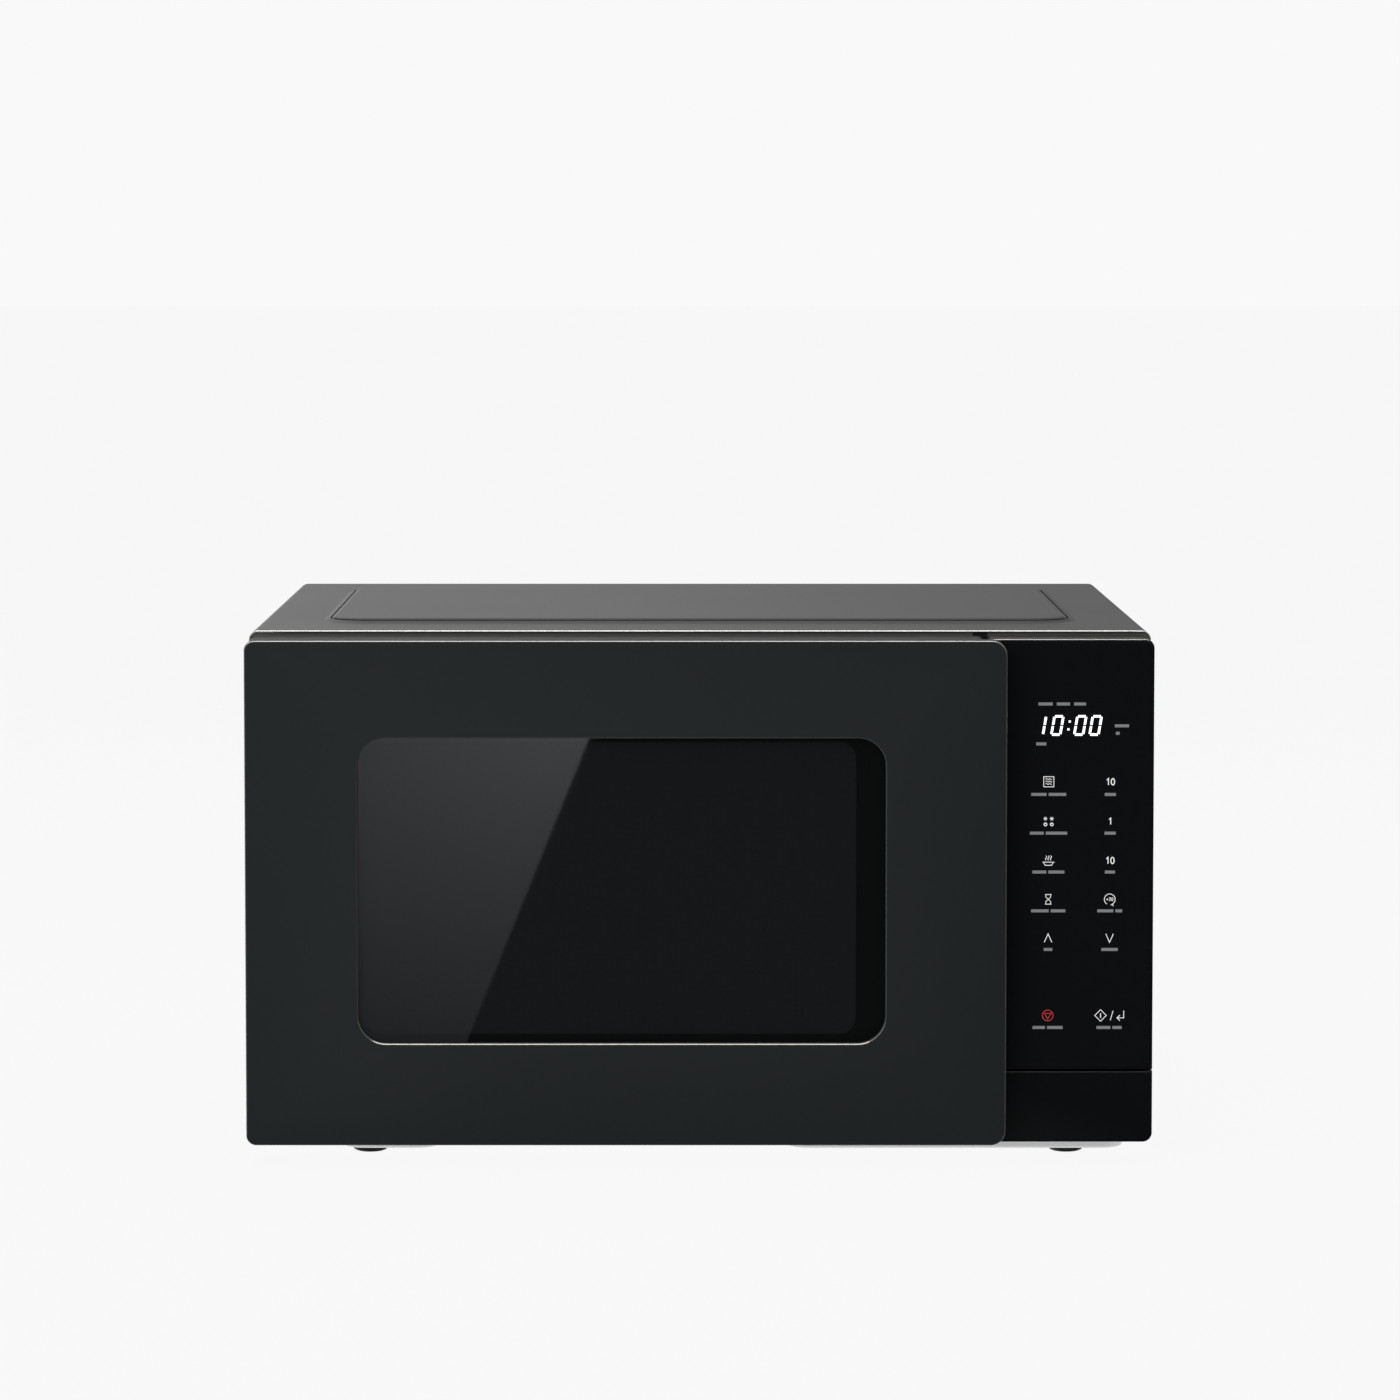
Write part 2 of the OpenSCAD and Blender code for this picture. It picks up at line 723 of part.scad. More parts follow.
filter_z = [252, 253.6];
module filter_board() {
  post_r = 3;
  choke_r = 11;
  choke_h = 18;
  film_capacitor_h = 14;
  color([0.15, 0.4, 0.25]) {
    block([132, 230], [shroud_y[0], shroud_y[1] - 6], filter_z);
    for (x = [140, 222]) for (y = [156, 182]) rod_z(x, y, [shroud_z[1], filter_z[0]], post_r);
    rod_z(160, 168, [filter_z[1], filter_z[1] + choke_h], choke_r);
    block([180, 204], [156, 172], [filter_z[1], filter_z[1] + film_capacitor_h]);
  }
}

module fuse() {
  fuse_x = [182, 202];
  fuse_y = 181;
  fuse_z = 259;
  fuse_r = 2.6;
  clip_w = 4;
  color([0.85, 0.85, 0.8]) {
    rod_x(fuse_x, fuse_y, fuse_z, fuse_r);
    for (x = fuse_x)
      block([x - clip_w / 2, x + clip_w / 2], [fuse_y - 3, fuse_y + 3], [filter_z[1], fuse_z + 3]);
  }
}

board_y = [-178, -176.4];
display_x = [172, 226];
display_z = [222, 250];
touch_t = 1.5;
module control_fascia() {
  wall = 2;
  pocket_y = panel_y + touch_t;
  front_wall_y = panel_y + 3.5;
  color([0.06, 0.07, 0.08]) {
    difference() {
      intersection() {
        plate(panel_x, [panel_y, cabinet_front_y], front_z, 2, 5);
        block([panel_x[0] - 1, side_x + 1], [panel_y - 1, 0], [fascia_bottom_z, body_h]);
      }
      block([panel_x[0] + wall, side_x - wall], [front_wall_y, cabinet_front_y + eps],
            [fascia_bottom_z + wall, front_z[1] - wall]);
      touch_pocket([panel_y - eps, pocket_y]);
      block(display_x, [pocket_y - eps, front_wall_y + eps], display_z);
    }
    // Tongue that fits inside the cabinet's front edge
    difference() {
      block([panel_x[0] + 1, inside_x - 0.5], [cabinet_front_y, plate_y[0]],
            [fascia_bottom_z, front_z[1] - 1]);
      block([panel_x[0] + wall, side_x - wall], [cabinet_front_y - eps, plate_y[0] + eps],
            [fascia_bottom_z + wall, front_z[1] - wall]);
    }
    for (x = [166, 231]) for (z = [64, 266]) rod_y(x, [front_wall_y, board_y[0]], z, 3);
    button_core();
  }
}

// The set-in part of the fascia that the button slides over
core_front_y = -182;
core_box_x = [158, 239];
core_box_z = [14.4, 46.9];
guide_pin_x = [180, 226];
guide_pin_z = 30;
guide_pin_r = 2.5;
module button_core() {
  flange_y = [cabinet_front_y - 0.5, plate_y[0]];
  difference() {
    union() {
      block(core_box_x, [core_front_y, flange_y[1]], core_box_z);
      block([core_box_x[0], core_box_x[1]], flange_y, [core_box_z[0], fascia_bottom_z + 2]);
    }
    block([core_box_x[0] + 2, core_box_x[1] - 2], [core_front_y + 2, plate_y[0] + eps],
          [core_box_z[0] + 2, core_box_z[1] - 2]);
    pusher_hole([core_front_y, plate_y[0]]);
    for (x = guide_pin_x)
      rod_y(x, [core_front_y - eps, core_front_y + 3], guide_pin_z, guide_pin_r + shaft_gap);
  }
  for (x = guide_pin_x) difference() {
    rod_y(x, [core_front_y + 2 - 0.01, core_front_y + 12], guide_pin_z, 5);
    rod_y(x, [core_front_y - eps, core_front_y + 12 + eps], guide_pin_z, guide_pin_r + shaft_gap);
  }
}

module touch_pocket(y) {
  inset = 1.5;
  intersection() {
    plate([panel_x[0] + inset, side_x - inset], y, [front_z[0] + inset, front_z[1] - inset], 1.5, 4);
    block([panel_x[0], side_x], [y[0] - 1, y[1] + 1], [fascia_bottom_z + inset, body_h]);
  }
}

module touch_panel() {
  color([0.03, 0.04, 0.05]) touch_pocket([panel_y, panel_y + touch_t]);
}

module display_module() {
  back_y = -181;
  pin_inset = 4;
  color([0.1, 0.12, 0.12]) {
    block(display_x, [panel_y + touch_t, back_y], display_z);
    for (x = [display_x[0] + pin_inset, display_x[1] - pin_inset])
      block([x - 1, x + 1], [back_y, board_y[0]], [display_z[0] + 3, display_z[1] - 3]);
  }
}

module control_board() {
  relay_x = [[170, 190], [196, 216]];
  relay_z = [70, 86];
  relay_y = [board_y[1], -169];
  supply_y = [board_y[1], -150];
  part_x = 184;
  sounder = [110, 6];
  capacitor_y = [board_y[1], -167];
  capacitor_r = 4;
  color([0.15, 0.45, 0.3]) {
    block([161, 236], board_y, [58, 272]);
    for (x = relay_x) block(x, relay_y, relay_z);
    block([196, 226], supply_y, [126, 160]);
    rod_y(part_x, relay_y, sounder[0], sounder[1]);
    for (z = [180, 194]) rod_y(part_x, capacitor_y, z, capacitor_r);
  }
}

module cord_gland() {
  flange_r = 11;
  inner_y = rear_y[0] - 14;
  color([0.1, 0.1, 0.1]) difference() {
    union() {
      rod_y(gland_x, [rear_y[1], body_d / 2], gland_z, flange_r);
      rod_y(gland_x, rear_y, gland_z, gland_r);
      rod_y(gland_x, [inner_y, rear_y[0]], gland_z, flange_r);
    }
    rod_y(gland_x, [inner_y - eps, body_d / 2 + eps], gland_z, gland_bore_r);
  }
}

// A hinge bracket on the front plate; its pin points up from a low arm or down from a high one
module hinge_bracket(arm_z, pin_z, tab_z) {
  color([0.7, 0.7, 0.7]) {
    rod_z(hinge_x, hinge_y, arm_z, hinge_arm_w / 2);
    block([hinge_x - hinge_arm_w / 2, hinge_x + hinge_arm_w / 2], [hinge_y, plate_y[0]], arm_z);
    block([hinge_x - 5, hinge_x + 9], [plate_y[0] - 1.2, plate_y[0]], tab_z);
    rod_z(hinge_x, hinge_y, pin_z, hinge_pin_r);
  }
}

module upper_hinge() {
  hinge_bracket(upper_arm_z, [upper_arm_z[0] - 11, upper_arm_z[0] + 0.1], [upper_arm_z[0] - 0.01, 280]);
}

module lower_hinge() {
  hinge_bracket(lower_arm_z, [lower_arm_z[1] - 0.1, lower_arm_z[1] + 11], [12, lower_arm_z[1]]);
}

// Body of the door in plan: the back corner at the hinge is cut off so that it clears the cabinet
module hinge_corner(z) {
  c = 6;
  translate([0, 0, z[0]]) linear_extrude(z[1] - z[0])
    polygon([[-side_x - 1, door_back_y - c - 1], [-side_x - 1, door_back_y + 1],
             [-side_x + c + 1, door_back_y + 1]]);
}

module door_front() {
  wall = 2.5;
  slot_x = [-side_x - 1, hinge_x + 12];
  slot_y = [hinge_y - 8, door_back_y + 1];
  color([0.14, 0.155, 0.165]) {
    difference() {
      union() {
        plate([-side_x, lap_x], [front_y, front_y + lap_t], front_z, 5.3, 8);
        plate(door_x, [front_y + lap_t - 0.01, door_back_y], front_z, 5.3, 3);
      }
      plate([-side_x + wall, lap_x - wall], [front_y + door_wall, front_y + lap_t + eps],
            [front_z[0] + wall, front_z[1] - wall], 3, 5.5);
      plate([-side_x + wall, door_x[1] - wall], [front_y + door_wall, door_back_y + eps],
            [front_z[0] + wall, front_z[1] - wall], 3, 1);
      plate(window_x, [front_y - eps, front_y + door_wall + eps], window_z, window_r, window_r);
      hinge_corner([0, body_h]);
      for (z = [lower_arm_z, upper_arm_z])
        block(slot_x, slot_y, [z[0] - hinge_slot_gap, z[1] + hinge_slot_gap]);
    }
    hinge_boss([upper_arm_z[0] - hinge_slot_gap - boss_h, upper_arm_z[0] - hinge_slot_gap]);
    hinge_boss([lower_arm_z[1] + hinge_slot_gap, lower_arm_z[1] + hinge_slot_gap + boss_h]);
    for (z = [[100, 110], [180, 190]])
      block([hook_x[1] + 0.4, door_x[1] - wall + 0.01], hook_bar_y, z);
  }
}

module hinge_boss(z) {
  difference() {
    union() {
      rod_z(hinge_x, hinge_y, z, boss_r);
      block([-side_x + 1, hinge_x - hinge_pin_r - 1], [hinge_y - 3, hinge_y + 3], z);
    }
    rod_z(hinge_x, hinge_y, [z[0] - eps, z[1] + eps], hinge_pin_r + shaft_gap);
  }
}

module window_glass() {
  m = 8;
  y = [front_y + door_wall, front_y + door_wall + 2.5];
  color([0.1, 0.11, 0.12]) plate([window_x[0] - m, window_x[1] + m], y,
                                 [window_z[0] - m, window_z[1] + m], window_r, window_r);
}

// Choke pan: a front sheet with two rings of wall that face the oven
pan_x = [-226, 138];
pan_z = [17, 276];
pan_y = [-186, door_back_y - 2];
ring_x = [-206, 120];
ring_z = [36, 252];
screen_y = [-173.6, -172.8];

module door_frame() {
  t = sheet_t;
  color([0.6, 0.61, 0.62]) difference() {
    plate(pan_x, pan_y, pan_z, 6, 6);
    difference() {
      plate([pan_x[0] + t, pan_x[1] - t], [pan_y[0] + t, pan_y[1] + eps],
            [pan_z[0] + t, pan_z[1] - t], 5, 5);
      plate(ring_x, [pan_y[0], pan_y[1] + 2 * eps], ring_z, 10, 10);
    }
    plate([ring_x[0] + t, ring_x[1] - t], [pan_y[0] - eps, pan_y[1] + eps],
          [ring_z[0] + t, ring_z[1] - t], 9, 9);
  }
}

module window_screen() {
  color([0.2, 0.21, 0.22])
    plate([ring_x[0] + sheet_t, ring_x[1] - sheet_t], screen_y,
          [ring_z[0] + sheet_t, ring_z[1] - sheet_t], 9, 9);
}

cover_y = [door_back_y - 2, door_back_y - 0.6];
cover_x = [-227.5, 149.2];
cover_z = [14.5, 278.5];
cover_open_x = [-192, 106];
cover_open_z = [50, 238];

module choke_cover() {
  color([0.16, 0.17, 0.18]) difference() {
    plate(cover_x, cover_y, cover_z, 4, 2);
    plate(cover_open_x, [cover_y[0] - eps, cover_y[1] + eps], cover_open_z, 12, 12);
    for (z = hook_arm_z)
      block([hook_x[0] - 1, hook_x[1] + 1], [cover_y[0] - eps, cover_y[1] + eps],
            [z[0] - barb_drop - 1, z[1] + hook_lift + 1]);
  }
}

module inner_window() {
  m = 5;
  color([0.55, 0.58, 0.6]) plate([cover_open_x[0] - m, cover_open_x[1] + m],
    [cover_y[0] - 0.5, cover_y[0]], [cover_open_z[0] - m, cover_open_z[1] + m], 12, 12);
}

module door_hook() {
  color([0.9, 0.9, 0.88]) {
    block(hook_x, hook_bar_y, hook_bar_z);
    for (z = hook_arm_z) {
      block(hook_x, [hook_bar_y[1] - 0.01, hook_tip_y], z);
      block(hook_x, [hook_tip_y - barb_l, hook_tip_y], [z[0] - barb_drop, z[0] + 0.01]);
    }
  }
}

// Push plate with a skirt, two guide pins and the rib that moves the lever
module open_button() {
  wall = 2;
  skirt_back_y = cabinet_front_y - 0.5 - button_travel - 0.8;
  front_wall = [panel_y, panel_y + 2.5];
  color([0.07, 0.08, 0.09]) {
    difference() {
      intersection() {
        plate(panel_x, [panel_y, skirt_back_y], front_z, 2, 5);
        block([panel_x[0] - 1, side_x + 1], [panel_y - 1, 0], button_z);
      }
      block([panel_x[0] + wall, side_x - wall], [front_wall[1], skirt_back_y + eps],
            [button_z[0] + wall, button_z[1] - wall]);
    }
    for (x = guide_pin_x) rod_y(x, [front_wall[1] - 0.01, core_front_y + 10], guide_pin_z, guide_pin_r);
    block(pusher_x, [front_wall[1] - 0.01, pusher_end_y], pusher_z);
  }
}

// Closed coils on the guide pins, at the length the two wire springs have when the button is in
module button_springs() {
  turns = 2;
  wire_r = 0.3;
  coil_gap = 0.1;
  coil_r = guide_pin_r + 1;
  first_y = panel_y + 2.5 + button_travel + coil_gap + wire_r;
  last_y = core_front_y - coil_gap - wire_r;
  pitch = (last_y - first_y) / (turns - 1);
  color([0.8, 0.8, 0.82]) for (x = guide_pin_x) for (i = [0 : turns - 1])
    translate([x, first_y + i * pitch, guide_pin_z]) rotate([90, 0, 0])
      rotate_extrude() translate([coil_r, 0]) circle(wire_r);
}

// Bell crank: the button pushes its tall arm back and its forward arm lifts the lower hook
module release_lever() {
  hub_r = 5;
  arm_x = [142.3, 147.8];
  push_x = [160, 168];
  color([0.9, 0.9, 0.88]) {
    rod_x([latch_x[0] - 1, 174], lever_y, lever_z, lever_r);
    rod_x(arm_x, lever_y, lever_z, hub_r);
    rod_x(push_x, lever_y, lever_z, hub_r);
    block(arm_x, lever_arm_y, [lever_z, 48]);
    block(arm_x, [-158, lever_arm_y[1]], [47, 52.4]);
    block(push_x, lever_arm_y, [lever_z, 50]);
  }
}

module fan_blade() {
  y = [158, 180];
  tip_r = throat_dia / 2 - 3;
  shaft_front_y = 117;
  hub_r = 12;
  blade_t = 1.4;
  blade_chord = 26;
  blade_pitch = 38;
  color([0.8, 0.8, 0.78]) {
    rod_y(fan_x, [shaft_front_y, y[1] + 2], fan_z, fan_shaft_r);
    rod_y(fan_x, y, fan_z, hub_r);
    for (i = [0 : blade_count - 1])
      translate([fan_x, (y[0] + y[1]) / 2, fan_z]) rotate([0, i * 360 / blade_count, 0])
        translate([tip_r / 2 + 5, 0, 0]) rotate([blade_pitch, 0, 0])
          cube([tip_r - 10, blade_t, blade_chord], center = true);
  }
}

coupler_lobe_z = [tray_z - 6, tray_z - 0.5];
module turntable_coupler() {
  color([0.93, 0.92, 0.9]) {
    rod_z(table_x, table_y, [cavity_z[0] - sheet_t - 13, coupler_lobe_z[0]], shaft_r);
    rod_z(table_x, table_y, [cavity_z[0] + 1, coupler_lobe_z[1]], 8);
    for (a = [0, 120, 240]) translate([table_x, table_y, 0]) rotate([0, 0, a])
      block([0, 16], [-4, 4], coupler_lobe_z);
  }
}

// Round dish with a low sloping rim and three lugs that the coupler turns
module glass_tray() {
  t = 4;
  r = tray_dia / 2;
  rim_h = 13;
  flat_r = r - 15;
  color([0.75, 0.85, 0.85, 0.5]) {
    translate([table_x, table_y, tray_z]) rotate_extrude()
      polygon([[0, 0], [flat_r, 0], [r, rim_h - 2], [r, rim_h + 1], [r - 2, rim_h + 1],
               [flat_r - 1.5, t], [0, t]]);
    for (a = [60, 180, 300]) translate([table_x, table_y, 0]) rotate([0, 0, a])
      block([11, 16], [-5, 5], [tray_z - 4.5, tray_z + 0.1]);
  }
}

module roller_ring() {
  ring_r = [track_r - 11, track_r - 5];
  half_h = 3.5;
  z = [roller_z - half_h, roller_z + half_h];
  color([0.92, 0.92, 0.9]) {
    difference() {
      rod_z(table_x, table_y, z, ring_r[1], $fn = 96);
      rod_z(table_x, table_y, [z[0] - eps, z[1] + eps], ring_r[0], $fn = 96);
    }
    for (i = [0 : 2]) translate([table_x, table_y, 0]) rotate([0, 0, roller_angle(i)])
      rod_x([ring_r[1] - 1, track_r + 4], 0, roller_z, roller_axle_r);
  }
}

function roller_angle(i) = 90 + i * 120;

module roller(i) {
  color([0.92, 0.92, 0.9]) translate([table_x, table_y, 0]) rotate([0, 0, roller_angle(i)])
    difference() {
      rod_x([track_r - 3.5, track_r + 3], 0, roller_z, roller_r);
      rod_x([track_r - 5, track_r + 5], 0, roller_z, roller_axle_r + shaft_gap);
    }
}

module roller_1() { roller(0); }
module roller_2() { roller(1); }
module roller_3() { roller(2); }

cabinet();
cabinet_screws();
rear_panel();
base_plate();
feet();
front_plate();
cavity();
waveguide_cover();
waveguide();
magnetron_yoke();
magnetron_magnets();
magnetron_anode();
magnetron_antenna();
magnetron_filter_box();
transformer_core();
transformer_windings();
capacitor();
capacitor_clamp();
high_voltage_diode();
fan_shroud();
fan_motor();
air_duct();
turntable_motor();
lamp();
lamp_socket();
latch_bracket();
primary_switch();
secondary_switch();
monitor_switch();
thermostat();
filter_board();
fuse();
control_fascia();
touch_panel();
display_module();
control_board();
cord_gland();
upper_hinge();
lower_hinge();
door_front();
window_glass();
door_frame();
window_screen();
choke_cover();
inner_window();
door_hook();
open_button();
button_springs();
release_lever();
fan_blade();
turntable_coupler();
glass_tray();
roller_ring();
roller_1();
roller_2();
roller_3();
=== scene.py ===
"""Looks for a countertop microwave oven, built round its CAD frame. Metres, +Z up."""
import json
import math

import bmesh
import bpy
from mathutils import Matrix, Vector


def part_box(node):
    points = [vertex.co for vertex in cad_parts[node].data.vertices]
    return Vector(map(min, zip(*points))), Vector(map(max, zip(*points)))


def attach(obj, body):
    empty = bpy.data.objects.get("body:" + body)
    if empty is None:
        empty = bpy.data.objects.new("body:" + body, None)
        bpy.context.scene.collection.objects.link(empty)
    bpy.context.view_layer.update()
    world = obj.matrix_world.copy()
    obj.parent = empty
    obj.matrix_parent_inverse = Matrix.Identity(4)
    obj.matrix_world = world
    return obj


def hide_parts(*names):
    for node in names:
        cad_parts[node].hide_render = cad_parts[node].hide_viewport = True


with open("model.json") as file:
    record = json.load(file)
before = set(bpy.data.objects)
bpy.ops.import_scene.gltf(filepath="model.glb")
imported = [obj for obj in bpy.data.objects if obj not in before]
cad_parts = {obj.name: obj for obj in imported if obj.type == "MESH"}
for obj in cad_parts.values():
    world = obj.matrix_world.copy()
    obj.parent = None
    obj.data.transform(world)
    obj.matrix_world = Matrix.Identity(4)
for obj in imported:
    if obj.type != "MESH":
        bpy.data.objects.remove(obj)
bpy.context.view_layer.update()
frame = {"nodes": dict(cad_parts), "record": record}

MM = 0.001
FLOOR_Z = -0.0002       # just under the feet
ARC_STEPS = 12          # segments of a rounded corner
IN_PLANE = 0.02 * MM    # how near a vertex lies to a plane to count as in it

door_low, door_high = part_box("door_front")
glass_low, glass_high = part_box("window_glass")
screen_low, screen_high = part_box("window_screen")
touch_low, touch_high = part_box("touch_panel")
cabinet_low, cabinet_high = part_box("cabinet")
tray_low, tray_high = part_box("glass_tray")
base_low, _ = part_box("base_plate")

# Sizes that the boxes don't give, as in the part's source
WINDOW_MARGIN = 8 * MM  # how far the glass runs past the window on each side
WINDOW_R = 15.7 * MM
EMBOSS_H = 2.4 * MM
SHEET_T = 1 * MM
ROOF_Z = cabinet_high.z - EMBOSS_H

# Printing is a thin layer of its own
PRINT_T = 0.06 * MM
PRINT_GAP = 0.005 * MM  # between the printing and the surface that it is on

window_low = glass_low + Vector((WINDOW_MARGIN, 0, WINDOW_MARGIN))
window_high = glass_high - Vector((WINDOW_MARGIN, 0, WINDOW_MARGIN))


# ---------------------------------------------------------------- node helpers

def feed(tree, socket, value):
    """Sets a socket to a number, or links another socket to it."""
    if isinstance(value, (int, float)):
        socket.default_value = value
    else:
        tree.links.new(value, socket)


def math_node(tree, operation, a, b):
    node = tree.nodes.new("ShaderNodeMath")
    node.operation = operation
    feed(tree, node.inputs[0], a)
    feed(tree, node.inputs[1], b)
    return node.outputs[0]


def map_range(tree, value, reads, gives=(0.0, 1.0), smooth=False):
    """Maps the pair of values in reads to the pair in gives, and holds beyond both ends."""
    node = tree.nodes.new("ShaderNodeMapRange")
    node.interpolation_type = "SMOOTHSTEP" if smooth else "LINEAR"
    for key, number in zip(("From Min", "From Max", "To Min", "To Max"), (*reads, *gives)):
        node.inputs[key].default_value = number
    tree.links.new(value, node.inputs["Value"])
    return node.outputs["Result"]


def mix_shaders(tree, share, first, second, out):
    """Shows first where share is 0 and second where it is 1."""
    mix = tree.nodes.new("ShaderNodeMixShader")
    for socket, source in zip(mix.inputs, (share, first, second)):
        tree.links.new(source, socket)
    tree.links.new(mix.outputs[0], out.inputs[0])


# ---------------------------------------------------------------- camera and lights

# Where the camera stands, and its lens
EYE = (-0.0088, -2.872, 0.4976)
LOOK_DOWN = 3.71        # degrees below the horizon
LENS = 129.82
SHIFT = (0.0118, -0.0994)
FARTHEST = 50

WHITE = (1, 1, 1)
WARM = (1.0, 0.965, 0.91)

# Name, place, aim, width and length, watts, colour, and whether reflections show the light
LIGHTS = (
    ("overhead", (0, -0.25, 2.2), (0, -0.25, 0), (1.9, 1.0), 32, WARM, True),
    ("key", (-1.00, -1.1, 1.3), (0, 0, 0.15), (1.0, 0.8), 6.8, WHITE, True),
    ("fill", (1.7, -1.2, 1.7), (0, 0, 0.15), (1.0, 1.0), 1.5, WHITE, True),
    ("left_side", (-1.9, 0.7, 0.9), (0, 0, 0.2), (0.5, 0.9), 16, WHITE, False),
    ("right_side", (1.9, 0.7, 0.9), (0, 0, 0.2), (0.5, 0.9), 12, WHITE, False),
)


def make_camera():
    data = bpy.data.cameras.new("camera")
    data.lens = LENS
    data.shift_x, data.shift_y = SHIFT
    data.clip_end = FARTHEST
    cam = bpy.data.objects.new("camera", data)
    bpy.context.scene.collection.objects.link(cam)
    cam.location = EYE
    cam.rotation_euler = (math.radians(90 - LOOK_DOWN), 0, 0)
    bpy.context.scene.camera = cam


def add_light(name, place, aim, size, watts, colour, in_reflections):
    data = bpy.data.lights.new(name, "AREA")
    data.shape = "RECTANGLE"
    data.size, data.size_y = size
    data.energy = watts
    data.color = colour
    lamp = bpy.data.objects.new(name, data)
    bpy.context.scene.collection.objects.link(lamp)
    lamp.location = place
    lamp.rotation_euler = (Vector(aim) - Vector(place)).to_track_quat("-Z", "Y").to_euler()
    lamp.visible_camera = False
    lamp.visible_glossy = in_reflections


def make_lights():
    for values in LIGHTS:
        add_light(*values)


# ---------------------------------------------------------------- studio

# Floor: nearly black, with a glow of its own that meets the backdrop without a horizon
FLOOR_GREY = 0.012
FLOOR_GLOW = 0.925
FLOOR_LEFT, FLOOR_RIGHT, FLOOR_FRONT, FLOOR_BACK = -8, 8, -8, 32
BACKDROP = 0.947        # what the camera sees past the floor

# Sky, as the object sees it in each direction: dark low in front, bright overhead
SKY_DARK, SKY_BRIGHT = 0.010, 0.48
SKY_FULL = 0.4          # level at which it is brightest
SIDE_RISE = 0.14        # how much the level rises to the sides
BACK_RISE = 0.4         # and how much behind
LEAN_LEFT, LEAN_RIGHT = 1.38, 0.54      # it is paler to the left
LEAN_X = 0.13

# Two patches low behind, which the sloping walls of the roof catch
GLINT_LEFT, GLINT_RIGHT = 3.0, 0.8
GLINT_Z = (0.14, 0.04)  # from none to all of the glow
GLINT_Y = (0.5, 0.8)
GLINT_X = (0.12, 0.20)

# Board on the floor, which gives the window its slanting reflection
CARD_CORNERS = ((-1.6, -0.25), (-0.150, -0.25), (-0.097, -2.7), (-1.6, -2.7))
CARD_TINT = (0.96, 0.99, 1.05, 1)
CARD_Y, CARD_GLOW = (-0.6, -2.5), (0.27, 1.28)          # it brightens away from the object
CARD_X, CARD_FADE = (-0.42, -0.14), (0.55, 1.0)         # and fades to the left
CARD_LIFT = 1 * MM


def flat_quad(name, corners, z, material):
    mesh = bpy.data.meshes.new(name)
    mesh.from_pydata([(x, y, z) for x, y in corners], [], [(0, 1, 2, 3)])
    mesh.materials.append(material)
    obj = bpy.data.objects.new(name, mesh)
    bpy.context.scene.collection.objects.link(obj)
    return obj


def make_floor():
    material = bpy.data.materials.new("floor")
    material.use_nodes = True
    shader = shader_of(material)
    shader.inputs["Base Color"].default_value = (FLOOR_GREY, FLOOR_GREY, FLOOR_GREY, 1)
    shader.inputs["Roughness"].default_value = 1
    shader.inputs["Specular IOR Level"].default_value = 0
    shader.inputs["Emission Color"].default_value = (1, 1, 1, 1)
    shader.inputs["Emission Strength"].default_value = FLOOR_GLOW
    show_from_above(material.node_tree, shader)
    corners = ((FLOOR_LEFT, FLOOR_FRONT), (FLOOR_RIGHT, FLOOR_FRONT),
               (FLOOR_RIGHT, FLOOR_BACK), (FLOOR_LEFT, FLOOR_BACK))
    floor = flat_quad("floor", corners, FLOOR_Z, material)
    floor.visible_glossy = False


def show_from_above(tree, shader):
    """Makes the floor clear from below, so that the underside can be looked at."""
    side = tree.nodes.new("ShaderNodeNewGeometry")
    clear = tree.nodes.new("ShaderNodeBsdfTransparent")
    mix_shaders(tree, side.outputs["Backfacing"], shader.outputs[0], clear.outputs[0],
                tree.nodes["Material Output"])


def make_reflection_card():
    """A pale board on the floor to the left, seen only in the window's glass."""
    material = bpy.data.materials.new("card")
    material.use_nodes = True
    tree = material.node_tree
    tree.nodes.clear()
    place = tree.nodes.new("ShaderNodeNewGeometry")
    split = tree.nodes.new("ShaderNodeSeparateXYZ")
    tree.links.new(place.outputs["Position"], split.inputs[0])
    along = map_range(tree, split.outputs["Y"], CARD_Y, CARD_GLOW)
    across = map_range(tree, split.outputs["X"], CARD_X, CARD_FADE)
    glow = tree.nodes.new("ShaderNodeEmission")
    glow.inputs["Color"].default_value = CARD_TINT
    feed(tree, glow.inputs["Strength"], math_node(tree, "MULTIPLY", along, across))
    out = tree.nodes.new("ShaderNodeOutputMaterial")
    tree.links.new(glow.outputs[0], out.inputs[0])
    card = flat_quad("card", CARD_CORNERS, FLOOR_Z + CARD_LIFT, material)
    card.visible_camera = False
    card.visible_diffuse = False
    card.visible_shadow = False


def sky_glow(tree, x, y, z):
    """Strength of the sky in a direction, without the patches low behind."""
    sideways = math_node(tree, "MULTIPLY", math_node(tree, "MULTIPLY", x, x), SIDE_RISE)
    behind = math_node(tree, "MULTIPLY", math_node(tree, "MAXIMUM", y, 0), BACK_RISE)
    level = math_node(tree, "ADD", math_node(tree, "ADD", z, sideways), behind)
    height = map_range(tree, level, (0.0, SKY_FULL), (SKY_DARK, SKY_BRIGHT), smooth=True)
    lean = map_range(tree, x, (-LEAN_X, LEAN_X), (LEAN_LEFT, LEAN_RIGHT), smooth=True)
    return math_node(tree, "MULTIPLY", height, lean)


def add_glints(tree, sky, x, y, z):
    """The sky's strength with a patch added low behind on each side."""
    low = map_range(tree, z, GLINT_Z, smooth=True)
    behind = map_range(tree, y, GLINT_Y, smooth=True)
    low_behind = math_node(tree, "MULTIPLY", low, behind)
    for side, strength in ((-1, GLINT_LEFT), (1, GLINT_RIGHT)):
        across = map_range(tree, x, (side * GLINT_X[0], side * GLINT_X[1]), smooth=True)
        patch = math_node(tree, "MULTIPLY", low_behind, across)
        sky = math_node(tree, "ADD", sky, math_node(tree, "MULTIPLY", patch, strength))
    return sky


def background(tree, strength):
    glow = tree.nodes.new("ShaderNodeBackground")
    glow.inputs["Color"].default_value = (1, 1, 1, 1)
    feed(tree, glow.inputs["Strength"], strength)
    return glow.outputs[0]


